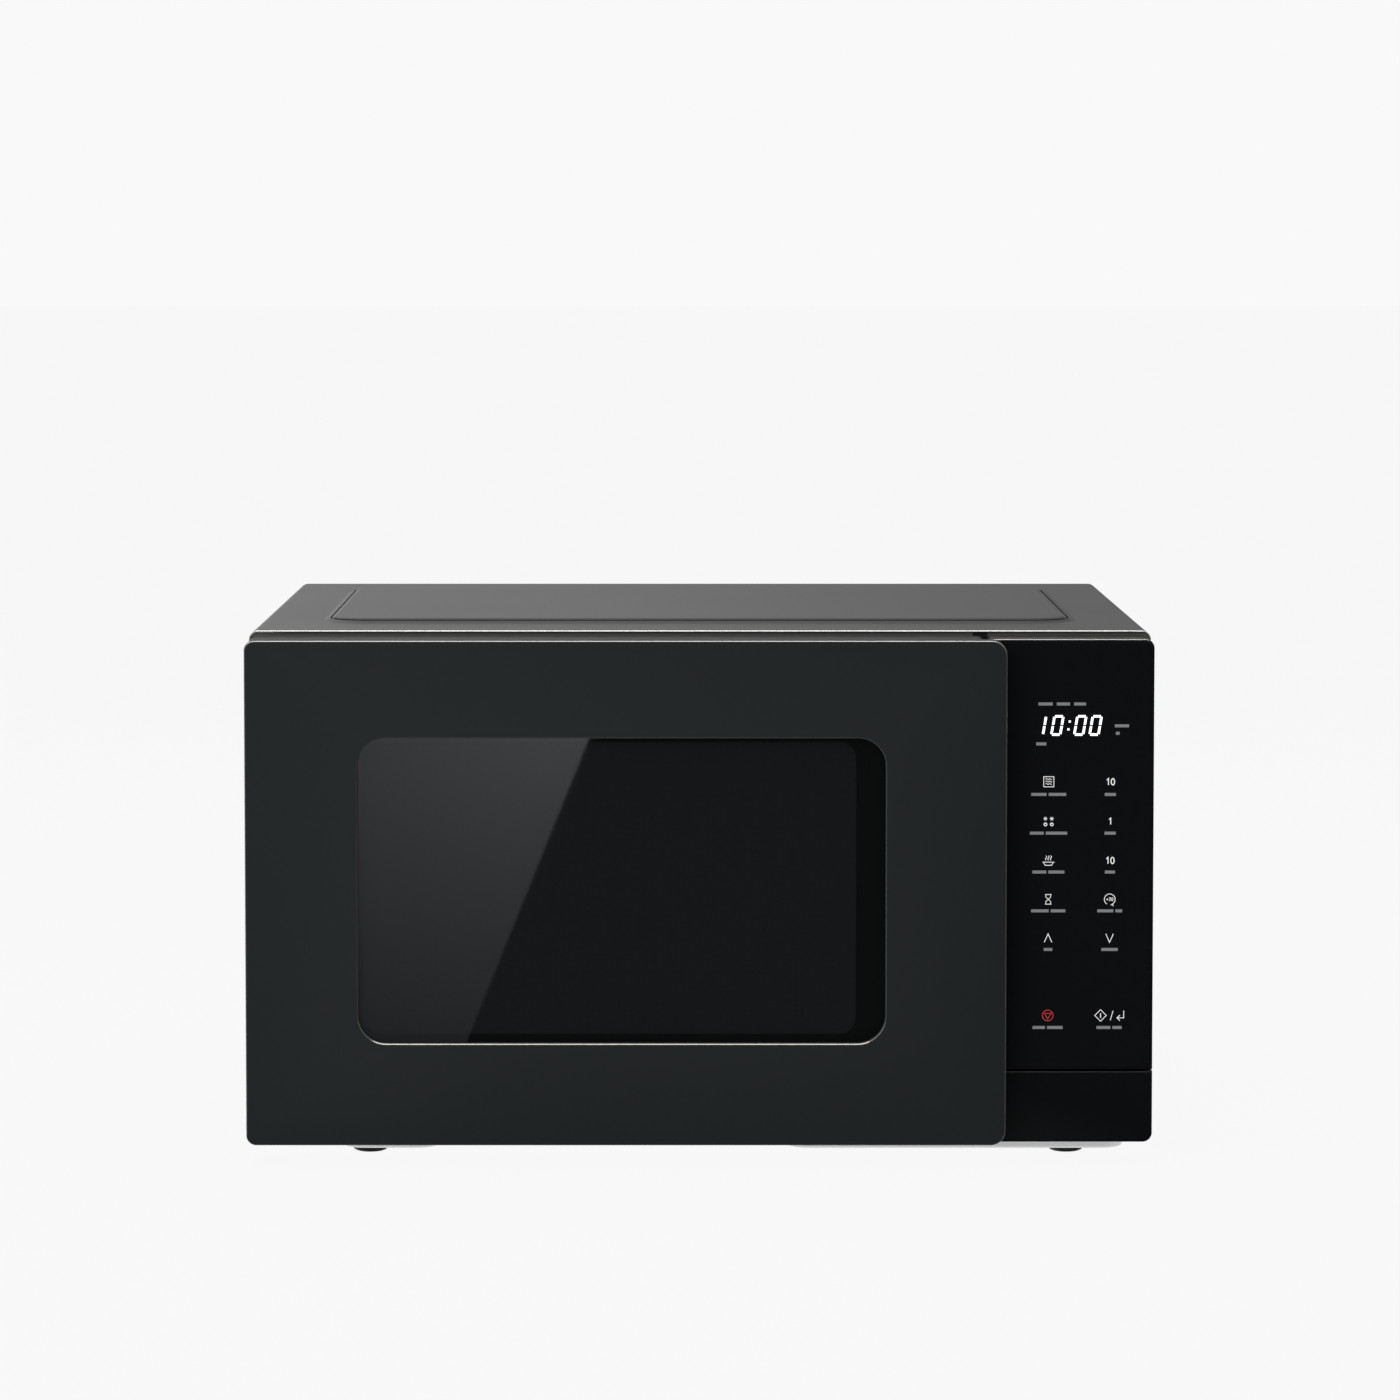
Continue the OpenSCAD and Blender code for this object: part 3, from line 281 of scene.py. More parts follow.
def make_world():
    """A plain backdrop for the camera, and the sky for all else."""
    world = bpy.data.worlds.new("studio")
    world.use_nodes = True
    tree = world.node_tree
    tree.nodes.clear()
    direction = tree.nodes.new("ShaderNodeTexCoord")
    split = tree.nodes.new("ShaderNodeSeparateXYZ")
    tree.links.new(direction.outputs["Generated"], split.inputs[0])
    sky = add_glints(tree, sky_glow(tree, *split.outputs), *split.outputs)
    path = tree.nodes.new("ShaderNodeLightPath")
    mix_shaders(tree, path.outputs["Is Camera Ray"], background(tree, sky),
                background(tree, BACKDROP), tree.nodes.new("ShaderNodeOutputWorld"))
    bpy.context.scene.world = world
    bpy.context.scene.view_settings.view_transform = "Standard"


# ---------------------------------------------------------------- materials

NOISE_SPAN = (0.3, 0.7)         # nearly all values of a noise texture lie between these
CONVEX_SPAN = (0.52, 0.64)      # pointiness from a nearly flat face to a sharp edge
MOST_WORN = 0.35                # share of the worn colour on a sharp edge
MIX_SHARE, MIX_A, MIX_B, MIX_RESULT = 0, 6, 7, 2        # sockets of a colour mix
STREAK_ALONG, STREAK_ACROSS = 9, 260                    # noise scale of rolling marks


def shader_of(material):
    return material.node_tree.nodes["Principled BSDF"]


def new_material(name, colour, rough, metal=0.0, specular=0.5):
    material = bpy.data.materials.new(name)
    material.use_nodes = True
    shader = shader_of(material)
    shader.inputs["Base Color"].default_value = (*colour, 1)
    shader.inputs["Roughness"].default_value = rough
    shader.inputs["Metallic"].default_value = metal
    shader.inputs["Specular IOR Level"].default_value = specular
    return material


def link(material, a, b):
    material.node_tree.links.new(a, b)


def object_place(material, scale=(1, 1, 1)):
    """Places on the object itself, stretched by scale."""
    coords = material.node_tree.nodes.new("ShaderNodeTexCoord")
    mapping = material.node_tree.nodes.new("ShaderNodeMapping")
    mapping.inputs["Scale"].default_value = scale
    link(material, coords.outputs["Object"], mapping.inputs["Vector"])
    return mapping.outputs["Vector"]


def noise(material, place, scale, detail):
    node = material.node_tree.nodes.new("ShaderNodeTexNoise")
    node.inputs["Scale"].default_value = scale
    node.inputs["Detail"].default_value = detail
    link(material, place, node.inputs["Vector"])
    return node.outputs["Fac"]


def colour_mix(material, share, first, second):
    """Mixes two colours, of which the first may be a socket."""
    mix = material.node_tree.nodes.new("ShaderNodeMix")
    mix.data_type = "RGBA"
    mix.inputs[MIX_B].default_value = (*second, 1)
    link(material, share, mix.inputs[MIX_SHARE])
    if isinstance(first, bpy.types.NodeSocket):
        link(material, first, mix.inputs[MIX_A])
    else:
        mix.inputs[MIX_A].default_value = (*first, 1)
    return mix.outputs[MIX_RESULT]


def wire_roughness(material, place, base, spread, scale):
    """Roughness that wanders by spread either side of base. Gives the noise it follows."""
    wander = noise(material, place, scale, detail=4.0)
    rough = map_range(material.node_tree, wander, NOISE_SPAN, (base - spread, base + spread))
    link(material, rough, shader_of(material).inputs["Roughness"])
    return wander


def wire_bump(material, height, strength, distance):
    bump = material.node_tree.nodes.new("ShaderNodeBump")
    bump.inputs["Strength"].default_value = strength
    bump.inputs["Distance"].default_value = distance
    link(material, height, bump.inputs["Height"])
    link(material, bump.outputs["Normal"], shader_of(material).inputs["Normal"])


def wire_colour(material, place, colour, drift, scale, worn=None):
    """Colour that drifts to drift times itself, and turns to worn on convex edges."""
    other = [c * drift for c in colour]
    result = colour_mix(material, noise(material, place, scale, detail=3.0), colour, other)
    if worn:
        shape = material.node_tree.nodes.new("ShaderNodeNewGeometry")
        share = map_range(material.node_tree, shape.outputs["Pointiness"], CONVEX_SPAN,
                          (0.0, MOST_WORN))
        result = colour_mix(material, share, result, worn)
    link(material, result, shader_of(material).inputs["Base Color"])


def moulded(name, colour, rough, grain=0.04, specular=0.5, spread=0.03, worn=None, metal=0.0):
    """Moulded plastic: a fine spark-eroded grain and slightly uneven gloss."""
    material = new_material(name, colour, rough, metal, specular)
    place = object_place(material)
    wire_roughness(material, place, rough, spread, scale=30)
    wire_bump(material, noise(material, place, scale=1900, detail=1.0), grain, 0.03 * MM)
    wire_colour(material, place, colour, 1.08, scale=9, worn=worn)
    return material


def powder_coat(name, colour, rough, worn=None):
    """Sprayed and baked paint on steel: a soft orange peel."""
    material = new_material(name, colour, rough)
    place = object_place(material)
    wire_roughness(material, place, rough, 0.012, scale=5)
    wire_bump(material, noise(material, place, scale=800, detail=2.0), 0.06, 0.05 * MM)
    wire_colour(material, place, colour, 1.06, scale=8, worn=worn)
    return material


def sheet_steel(name, colour, rough, streak_axis=0, metal=1.0):
    """Zinc-plated or bare rolled metal, with streaks along one axis."""
    material = new_material(name, colour, rough, metal)
    stretch = [STREAK_ACROSS] * 3
    stretch[streak_axis] = STREAK_ALONG
    streaks = wire_roughness(material, object_place(material, stretch), rough, 0.03, scale=2)
    wire_bump(material, streaks, 0.012, 0.02 * MM)
    wire_colour(material, object_place(material), colour, 0.90, scale=25)
    return material


def pane(name, tint, rough, cover, specular=0.5):
    """Glass or film: cover is how much of what lies behind it is hidden."""
    material = new_material(name, tint, rough, specular=specular)
    shader_of(material).inputs["Alpha"].default_value = cover
    place = object_place(material)
    wire_roughness(material, place, rough, rough * 0.4, scale=6)
    wire_colour(material, place, tint, 1.1, scale=5)
    return material


def glow_or_painted_light(name, colour, strength):
    """Lit clock segments that glow, or printing given a glow as painted light so that it stays bright
    whatever the lamps.
    """
    material = moulded(name, colour, 0.4)
    shader_of(material).inputs["Emission Color"].default_value = (*colour, 1)
    shader_of(material).inputs["Emission Strength"].default_value = strength
    return material


# Each material's kind, and the values that the kind takes after the name: colour, roughness, and
# then for moulded the grain, specular, spread, worn colour and metal; for powder_coat the worn
# colour; for sheet_steel the streak axis and metal; for pane the cover and specular. For
# glow_or_painted_light it is the colour and the strength of the glow.
MATERIALS = {
    "cabinet_paint": (powder_coat, (0.032, 0.033, 0.033), 0.40, (0.07, 0.07, 0.07)),
    # Bare metal on the cabinet's front rim: partly a cut edge, partly a painted highlight
    "bare_edge_and_highlight": (sheet_steel, (0.72, 0.71, 0.69), 0.36),
    # Pale, nearly non-metal zinc: a painted reflection of the bright floor, which reflections don't
    # see
    "pale_zinc_painted_reflection": (moulded, (0.80, 0.82, 0.81), 0.38, 0.03, 0.6, 0.04),
    "cavity_paint": (powder_coat, (0.46, 0.46, 0.43), 0.33),
    "zinc_steel": (sheet_steel, (0.74, 0.76, 0.76), 0.46, 0, 0.7),
    "spring_steel": (sheet_steel, (0.6, 0.6, 0.6), 0.25),
    "aluminium": (sheet_steel, (0.78, 0.78, 0.79), 0.35, 2),
    "core_steel": (sheet_steel, (0.2, 0.19, 0.18), 0.5, 1),
    "copper_wire": (sheet_steel, (0.6, 0.26, 0.12), 0.35),
    "rubber_foot": (moulded, (0.014, 0.014, 0.014), 0.55, 0.12),
    "black_plastic": (moulded, (0.013, 0.013, 0.014), 0.4, 0.1),
    "white_plastic": (moulded, (0.68, 0.68, 0.64), 0.42),
    "red_plastic": (moulded, (0.35, 0.03, 0.02), 0.4),
    "ceramic": (moulded, (0.75, 0.72, 0.64), 0.3),
    "ferrite": (moulded, (0.03, 0.03, 0.032), 0.6, 0.2),
    "mica": (moulded, (0.42, 0.33, 0.2), 0.5, 0.2),
    "circuit_board": (moulded, (0.02, 0.11, 0.05), 0.35),
    "door_plastic": (moulded, (0.0112, 0.0151, 0.0160), 0.50, 0.05, 0.34, 0.015,
                     (0.030, 0.033, 0.035)),
    "panel_plastic": (moulded, (0.0018, 0.0024, 0.0030), 0.34, 0.03, 0.42, 0.015,
                      (0.012, 0.013, 0.014)),
    "panel_gloss": (moulded, (0.0053, 0.0058, 0.0070), 0.12, 0.004, 0.42, 0.015),
    "window_glass": (pane, (0.0108, 0.0128, 0.0132), 0.02, 0.80),
    "screen_paint": (powder_coat, (0.016, 0.018, 0.018), 0.42),
    "clear_film": (pane, (0.35, 0.37, 0.37), 0.12, 0.22),
    "lamp_glass": (pane, (0.9, 0.88, 0.8), 0.3, 0.6),
    "tray_glass": (pane, (0.62, 0.76, 0.73), 0.05, 0.34, 0.9),
    # The window's chamfer in a lighter metallic copy of the plastic: a painted highlight
    "chamfer_painted_highlight": (moulded, (0.20, 0.20, 0.19), 0.22, 0.01, 1.0, 0.02, None, 0.75),
    # Lighter metallic copy of the plastic on rounded front edges: a painted highlight
    "painted_edge_highlight": (moulded, (0.27, 0.27, 0.25), 0.24, 0.01, 0.8, 0.02, None, 0.75),
    "glass_print": (pane, (0.0042, 0.0050, 0.0050), 0.02, 1.0),
    # Painted shade on the front plate: its top strip and the gap beside the panel
    "painted_lip_shade": (powder_coat, (0.15, 0.148, 0.142), 0.5),
    "gap_shade": (powder_coat, (0.003, 0.003, 0.003), 0.7),
    # The printing's glow is painted light; only the clock's segments really glow
    "print_grey": (glow_or_painted_light, (0.62, 0.63, 0.63), 0.55),
    "print_dim": (glow_or_painted_light, (0.15, 0.155, 0.155), 0.5),
    "print_red": (glow_or_painted_light, (0.52, 0.035, 0.035), 0.25),
    "display_lit": (glow_or_painted_light, (0.95, 0.96, 0.97), 0.95),
}
made_materials = {}


def material_for(name):
    """The material of that name, made when it is first asked for."""
    if name not in made_materials:
        kind, *values = MATERIALS[name]
        made_materials[name] = kind(name, *values)
    return made_materials[name]


record = frame["record"]
slots = {entry["node"]: entry["material_slot"] for entry in record["subparts"]}
bodies = {node: body for body, nodes in record["behaviour"]["bodies"].items() for node in nodes}


def dress_cad_nodes():
    """Every carried-over CAD node gets the material of its slot in the record."""
    for name, obj in frame["nodes"].items():
        material = material_for(slots[name])
        if not obj.material_slots:
            obj.data.materials.append(material)
        for holder in obj.material_slots:
            holder.material = material


# ---------------------------------------------------------------- mesh helpers

MERGE = 1e-6            # vertices closer than this are one
FLAT = 0.4              # degrees between faces that count as one flat face
FOLDED = 180            # degrees between faces that lie back to back


def finish_piece(name, bm, material, body, smooth_below=35):
    """Turns a bmesh into a piece that rides on a body, smooth where its faces meet gently."""
    bmesh.ops.recalc_face_normals(bm, faces=bm.faces)
    limit = math.radians(smooth_below)
    for face in bm.faces:
        face.smooth = True
    for edge in bm.edges:
        edge.smooth = len(edge.link_faces) == 2 and edge.calc_face_angle(0) < limit
    mesh = bpy.data.meshes.new(name)
    bm.to_mesh(mesh)
    bm.free()
    mesh.materials.append(material_for(material))
    obj = bpy.data.objects.new(name, mesh)
    bpy.context.scene.collection.objects.link(obj)
    shading = obj.modifiers.new("even_shading", "WEIGHTED_NORMAL")
    shading.keep_sharp = True
    shading.weight = 90     # large faces count for more
    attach(obj, body)
    return obj


def repaint(piece, material, chosen):
    """Gives the faces that chosen picks a second material."""
    piece.data.materials.append(material_for(material))
    for face in piece.data.polygons:
        if chosen(face):
            face.material_index = len(piece.data.materials) - 1


def clean_copy(node):
    """The CAD node's mesh as a bmesh of whole flat faces."""
    bm = bmesh.new()
    bm.from_mesh(frame["nodes"][node].data)
    bmesh.ops.remove_doubles(bm, verts=bm.verts, dist=MERGE)
    bmesh.ops.dissolve_limit(bm, angle_limit=math.radians(FLAT), verts=bm.verts, edges=bm.edges)
    return bm


def edge_angle(edge):
    return math.degrees(edge.calc_face_angle(0)) if len(edge.link_faces) == 2 else 0


def fillet(bm, width, segments, least, where=None):
    """Rounds the edges whose faces meet at more than least degrees, and which where picks."""
    chosen = [e for e in bm.edges if least < edge_angle(e) < FOLDED and (where is None or where(e))]
    bmesh.ops.bevel(bm, geom=chosen, offset=width, offset_type="OFFSET", segments=segments,
                    profile=0.5, affect="EDGES", clamp_overlap=False)


def softened(node, width, segments, where=None):
    """A copy of a CAD node with rounded edges, which replaces it."""
    bm = clean_copy(node)
    fillet(bm, width, segments, least=45, where=where)
    piece = finish_piece(node + "_soft", bm, slots[node], bodies[node])
    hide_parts(node)


def in_plane(edge, axis, level):
    """Whether an edge lies in the plane at level across an axis, 0 for X to 2 for Z."""
    return all(abs(v.co[axis] - level) < IN_PLANE for v in edge.verts)


def cut(bm, place, normal):
    """Splits the faces along a plane."""
    bmesh.ops.bisect_plane(bm, geom=bm.verts[:] + bm.edges[:] + bm.faces[:], plane_co=place,
                           plane_no=normal)


def circle(cx, cz, radius, start=0, end=360, steps=20):
    """Points of an arc in degrees. A full turn doesn't repeat its first point."""
    points = []
    for i in range(steps + (end - start < 360)):
        a = math.radians(start + (end - start) * i / steps)
        points.append((cx + radius * math.cos(a), cz + radius * math.sin(a)))
    return points


def rounded_outline(low_x, high_x, low_z, high_z, radius):
    """Points of a rounded rectangle in X and Z, anticlockwise seen from the front."""
    left, right, foot, head = low_x + radius, high_x - radius, low_z + radius, high_z - radius
    points = []
    for cx, cz, start in ((right, foot, -90), (right, head, 0), (left, head, 90), (left, foot, 180)):
        points += circle(cx, cz, radius, start, start + 90, ARC_STEPS)
    return points


def at_depth(outline, y):
    return [(x, y, z) for x, z in outline]


def add_ring(bm, loops):
    """Joins loops of equal length, each a list of points, into a closed band."""
    rows = [[bm.verts.new(p) for p in loop] for loop in loops]
    count = len(rows[0])
    for a, b in zip(rows, rows[1:] + rows[:1]):
        for i in range(count):
            j = (i + 1) % count
            bm.faces.new((a[i], a[j], b[j], b[i]))


def add_frame(bm, outer, inner, front, back):
    """A flat frame between two outlines, from depth front to depth back."""
    add_ring(bm, [at_depth(outer, front), at_depth(outer, back), at_depth(inner, back),
                  at_depth(inner, front)])


# ---------------------------------------------------------------- door

EDGE_DEPTH = 1.1 * MM   # the rounded front edges reach this far back
TOP_EDGE_Z = door_high.z - EDGE_DEPTH
FACING, ASIDE = 0.96, 0.25              # size of a normal's Y on a face that faces front or side
FRONT_R = 1.0 * MM      # radius of the slab's front edge
LAP_BACK_Y = door_low.y + 10 * MM       # back of the slab where it laps over the panel
LAP_X = touch_low.x + 5 * MM
LAP_R = 0.4 * MM

# Chamfer round the window: inset from its outline, in mm
RIM_START, RIM_CREST, RIM_SLOPE, RIM_INNER = 0.02, 0.10, 0.62, 0.75
RIM_CLEAR = 0.03 * MM   # how far the rim stays off the glass and behind the door's face

# Border printed round the glass, wider where the cavity ends
BORDER_INSET = 0.9 * MM
BORDER_LEFT, BORDER_RIGHT, BORDER_FOOT, BORDER_HEAD = 3 * MM, 16.5 * MM, 5.5 * MM, 3 * MM
BORDER_R = 9 * MM

# Perforated screen
HOLE_PITCH, HOLE_R = 3.4 * MM, 1.15 * MM
FIELD_MARGIN, FIELD_HEAD_MARGIN = 34 * MM, 26 * MM      # plain metal round the holes
SCREEN_R = 9 * MM
FIELD_R = 0.3 * MM


def is_front_fillet(face):
    """Faces of a rounded front edge, which lean towards neither the front nor the side, and get the
    painted highlight.
    """
    return ASIDE < abs(face.normal.y) < FACING and face.center.y < touch_low.y + EDGE_DEPTH


def in_window(edge):
    return all(window_low.x - MM < v.co.x < window_high.x + MM
               and window_low.z - MM < v.co.z < window_high.z + MM for v in edge.verts)


def is_front_outline(edge):
    """Edges of the door's outline that lie in the front face."""
    in_front = all(v.co.y < door_low.y + 0.05 * MM for v in edge.verts)
    return in_front and not in_window(edge)


def is_lap_back(edge):
    """The outer edge at the back of the slab, where it laps over the panel."""
    return in_plane(edge, 1, LAP_BACK_Y) and all(v.co.x > LAP_X for v in edge.verts)


def make_door():
    bm = clean_copy("door_front")
    fillet(bm, FRONT_R, segments=4, least=30, where=is_front_outline)
    fillet(bm, LAP_R, segments=2, least=50, where=is_lap_back)
    piece = finish_piece("door_front_soft", bm, "door_plastic", "door")
    # The rounded front edges get a lighter metallic copy of the plastic: a painted highlight
    repaint(piece, "painted_edge_highlight", is_front_fillet)
    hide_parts("door_front")


def window_outline(inset):
    return rounded_outline(window_low.x + inset, window_high.x - inset, window_low.z + inset,
                           window_high.z - inset, WINDOW_R - inset)


def make_window_rim():
    """Chamfer between the door's face and the glass, in a lighter metallic copy of the plastic: a
    painted highlight.
    """
    front, back = door_low.y, glass_low.y - RIM_CLEAR
    section = ((RIM_START, back), (RIM_START, front + 0.12 * MM), (RIM_CREST, front + RIM_CLEAR),
               (RIM_SLOPE, front + 0.55 * MM), (RIM_INNER, front + 0.9 * MM), (RIM_INNER, back))
    bm = bmesh.new()
    add_ring(bm, [at_depth(window_outline(inset * MM), y) for inset, y in section])
    finish_piece("window_rim", bm, "chamfer_painted_highlight", "door", smooth_below=50)


def make_window_border():
    """Black border printed round the glass."""
    inner = rounded_outline(window_low.x + BORDER_LEFT, window_high.x - BORDER_RIGHT,
                            window_low.z + BORDER_FOOT, window_high.z - BORDER_HEAD, BORDER_R)
    bm = bmesh.new()
    add_frame(bm, window_outline(BORDER_INSET), inner, glass_low.y - PRINT_T, glass_low.y - PRINT_GAP)
    finish_piece("window_border", bm, "glass_print", "door")


def punched_cell(bm, grid, i, j, centre):
    """One square of the screen with an eight-sided hole through it."""
    corners = [(i, j), (i + 1, j), (i + 1, j + 1), (i, j + 1)]
    outline = circle(*centre, HOLE_R, 225, 585, 8)
    holes = [[bm.verts.new(p) for p in at_depth(outline, y)] for y in (screen_low.y, screen_high.y)]
    for level, hole in zip(grid, holes):
        for k in range(4):
            a, b = level[corners[k]], level[corners[(k + 1) % 4]]
            bm.faces.new((a, b, hole[(2 * k + 2) % 8], hole[2 * k + 1], hole[2 * k]))
    front, back = holes
    for k in range(8):
        m = (k + 1) % 8
        bm.faces.new((front[k], front[m], back[m], back[k]))


def make_screen():
    """Perforated microwave screen: a field of punched holes inside a plain border."""
    low_x, low_z = screen_low.x + FIELD_MARGIN, screen_low.z + FIELD_MARGIN
    columns = int((screen_high.x - FIELD_MARGIN - low_x) / HOLE_PITCH)
    rows = int((screen_high.z - FIELD_HEAD_MARGIN - low_z) / HOLE_PITCH)
    bm = bmesh.new()
    grid = [{(i, j): bm.verts.new((low_x + i * HOLE_PITCH, y, low_z + j * HOLE_PITCH))
             for i in range(columns + 1) for j in range(rows + 1)}
            for y in (screen_low.y, screen_high.y)]
    for i in range(columns):
        for j in range(rows):
            centre = (low_x + (i + 0.5) * HOLE_PITCH, low_z + (j + 0.5) * HOLE_PITCH)
            punched_cell(bm, grid, i, j, centre)
    close_field(bm, grid, columns, rows)
    finish_piece("screen_field", bm, "screen_paint", "door")
    make_screen_border(low_x, low_x + columns * HOLE_PITCH, low_z, low_z + rows * HOLE_PITCH)


def close_field(bm, grid, columns, rows):
    """The narrow outer faces of the punched field."""
    edge = ([(i, 0) for i in range(columns)] + [(columns, j) for j in range(rows)]
            + [(i, rows) for i in range(columns, 0, -1)] + [(0, j) for j in range(rows, 0, -1)])
    front, back = grid
    for a, b in zip(edge, edge[1:] + edge[:1]):
        bm.faces.new((front[a], front[b], back[b], back[a]))


def make_screen_border(low_x, high_x, low_z, high_z):
    outer = rounded_outline(screen_low.x, screen_high.x, screen_low.z, screen_high.z, SCREEN_R)
    inner = rounded_outline(low_x, high_x, low_z, high_z, FIELD_R)
    bm = bmesh.new()
    add_frame(bm, outer, inner, screen_low.y, screen_high.y)
    border = finish_piece("screen_border", bm, "screen_paint", "door")
    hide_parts("window_screen")


# ---------------------------------------------------------------- cabinet and base

EMBOSS_LOW, EMBOSS_HIGH = Vector((-0.208, -0.116)), Vector((0.208, 0.150))
EMBOSS_R = 26 * MM
SLOPE_W = 8 * MM        # width of the raised panel's sloping wall
BEND_W = 1.2 * MM       # width of each bend at the foot and at the head of that wall
WALL_STEPS = 14
RIM_W = 5.1 * MM        # the outer rims of the sheet lie this close to its sides
RIM_R = 0.45 * MM
CUT_DEPTH = 0.42 * MM   # lighter bare metal shows this far back from the front rim, partly a painted highlight
CUT_EDGE_AREA = 6e-4    # faces of the rim are smaller than this, in square metres
PAD_R = 1.6 * MM        # radius of the pressed pads' lower edges


def rise(t):
    """Height of the wall at t from its foot: bend up, straight slope, bend level."""
    steepest = EMBOSS_H / (SLOPE_W - BEND_W)
    if t < BEND_W:
        return steepest * t * t / (2 * BEND_W)
    if t > SLOPE_W - BEND_W:
        return EMBOSS_H - steepest * (SLOPE_W - t) ** 2 / (2 * BEND_W)
    return steepest * (t - BEND_W / 2)


def ordered_rim(bm):
    """The vertices round the one open edge, in order."""
    edges = [e for e in bm.edges if len(e.link_faces) == 1]
    first = edges[0].verts[0]
    rim, previous, here = [first], None, first
    while True:
        onward = [e for e in here.link_edges if len(e.link_faces) == 1 and e is not previous]
        previous = onward[0]
        here = previous.other_vert(here)
        if here is first:
            return rim
        rim.append(here)


def wall_place(vert, t):
    """The place straight in from a vertex of the panel's foot, at t from the foot."""
    core = Vector((min(max(vert.co.x, EMBOSS_LOW.x + EMBOSS_R), EMBOSS_HIGH.x - EMBOSS_R),
                   min(max(vert.co.y, EMBOSS_LOW.y + EMBOSS_R), EMBOSS_HIGH.y - EMBOSS_R)))
    return core + (vert.co.xy - core).normalized() * (EMBOSS_R - t)


def reshape_emboss(bm, level):
    """Replaces the flat facets of the raised panel by a wall with an S-shaped section."""
    head = level + EMBOSS_H
    top = [f for f in bm.faces if any(abs(v.co.z - head) < 0.1 * MM for v in f.verts)]
    bmesh.ops.delete(bm, geom=top, context="FACES")
    rim = ordered_rim(bm)
    previous = rim
    for k in range(1, WALL_STEPS + 1):
        t = SLOPE_W * k / WALL_STEPS
        loop = [bm.verts.new((*wall_place(vert, t), level + rise(t))) for vert in rim]
        for i in range(len(rim)):
            j = (i + 1) % len(rim)
            bm.faces.new((previous[i], previous[j], loop[j], loop[i]))
        previous = loop
    bm.faces.new(previous)


def is_cabinet_rim(edge):
    """Outer rims of the folded sheet, front and back."""
    at_end = in_plane(edge, 1, cabinet_low.y) or in_plane(edge, 1, cabinet_high.y)
    return at_end and all(abs(v.co.x) > cabinet_high.x - RIM_W or v.co.z > ROOF_Z - 0.05 * MM
                          for v in edge.verts)


def is_bare_or_highlight_edge(face):
    return face.center.y < cabinet_low.y + CUT_DEPTH and face.area < CUT_EDGE_AREA


def make_cabinet():
    bm = clean_copy("cabinet")
    reshape_emboss(bm, ROOF_Z)
    reshape_emboss(bm, ROOF_Z - SHEET_T)
    fillet(bm, RIM_R, segments=3, least=50, where=is_cabinet_rim)
    piece = finish_piece("cabinet_soft", bm, "cabinet_paint", "oven",
                         smooth_below=25)
    # The front rim's bare metal: partly a cut edge, partly a painted highlight along the rim
    repaint(piece, "bare_edge_and_highlight", is_bare_or_highlight_edge)
    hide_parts("cabinet")


def make_base():
    bm = clean_copy("base_plate")
    fillet(bm, PAD_R, segments=3, least=50,
           where=lambda e: all(v.co.z < base_low.z + IN_PLANE for v in e.verts))
    # The base plate's pale colour is a painted reflection of the bright floor
    piece = finish_piece("base_plate_soft", bm, "pale_zinc_painted_reflection", "oven")
    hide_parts("base_plate")


# ---------------------------------------------------------------- turntable

TRAY_STEPS = 128
AXIS_R = 0.1 * MM       # the tray's profile starts just off its axis
GLASS_T = 4 * MM
RIDGES = (0.040, 0.090) # radii where the two raised rings on the tray start
RIDGE_H = 4.5 * MM      # height of their tops over the tray's underside
LUG_H = 4.5 * MM
LUG_INNER, LUG_OUTER = 0.011, 0.016
LUG_HALF = 5.0 * MM     # half of a lug's width at its head
LUG_GAP = 0.02 * MM     # keeps a lug's head off the tray's underside
LUG_ANGLES = (60, 180, 300)


def tray_profile(outer_r, foot, top):
    """The tray's section as (radius, Z): floor with rings, rim, and back along the underside."""
    floor = foot + GLASS_T
    profile = [(AXIS_R, floor)]
    for r in RIDGES:
        profile += [(r, floor), (r + 1.0 * MM, foot + RIDGE_H), (r + 2.5 * MM, foot + RIDGE_H),
                    (r + 3.5 * MM, floor)]
    profile += [(outer_r - inset * MM, foot + z * MM) for inset, z in ((18.5, 4.1), (14.5, 5.2))]
    profile += [(outer_r - inset * MM, top - drop * MM) for inset, drop in
                ((4.5, 1.4), (2.4, 0.3), (1.3, 0), (0.3, 0.5), (0, 1.6), (1.2, 3.2))]
    profile += [(outer_r - inset * MM, foot + z * MM) for inset, z in
                ((12.5, 1.5), (15.5, 0.3), (18.5, 0))]
    return profile + [(AXIS_R, foot)]


def make_tray():
    """Pressed glass dish with a rolled rim, two raised rings and three driving lugs."""
    centre = ((tray_low.x + tray_high.x) / 2, (tray_low.y + tray_high.y) / 2)
    foot = tray_low.z + LUG_H
    bm = bmesh.new()
    lathe(bm, tray_profile((tray_high.x - tray_low.x) / 2, foot, tray_high.z), centre, TRAY_STEPS)
    for degrees in LUG_ANGLES:
        add_lug(bm, centre, math.radians(degrees), foot)
    piece = finish_piece("tray_glass_dish", bm, "tray_glass", "tray",
                         smooth_below=40)
    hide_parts("glass_tray")


def lathe(bm, profile, centre, steps):
    """Turns a closed profile of (radius, z) about an upright axis."""
    rows = []
    for i in range(steps):
        a = 2 * math.pi * i / steps
        rows.append([bm.verts.new((centre[0] + r * math.cos(a), centre[1] + r * math.sin(a), z))
                     for r, z in profile])
    for a, b in zip(rows, rows[1:] + rows[:1]):
        for k in range(len(profile)):
            m = (k + 1) % len(profile)
            bm.faces.new((a[k], b[k], b[m], a[m]))


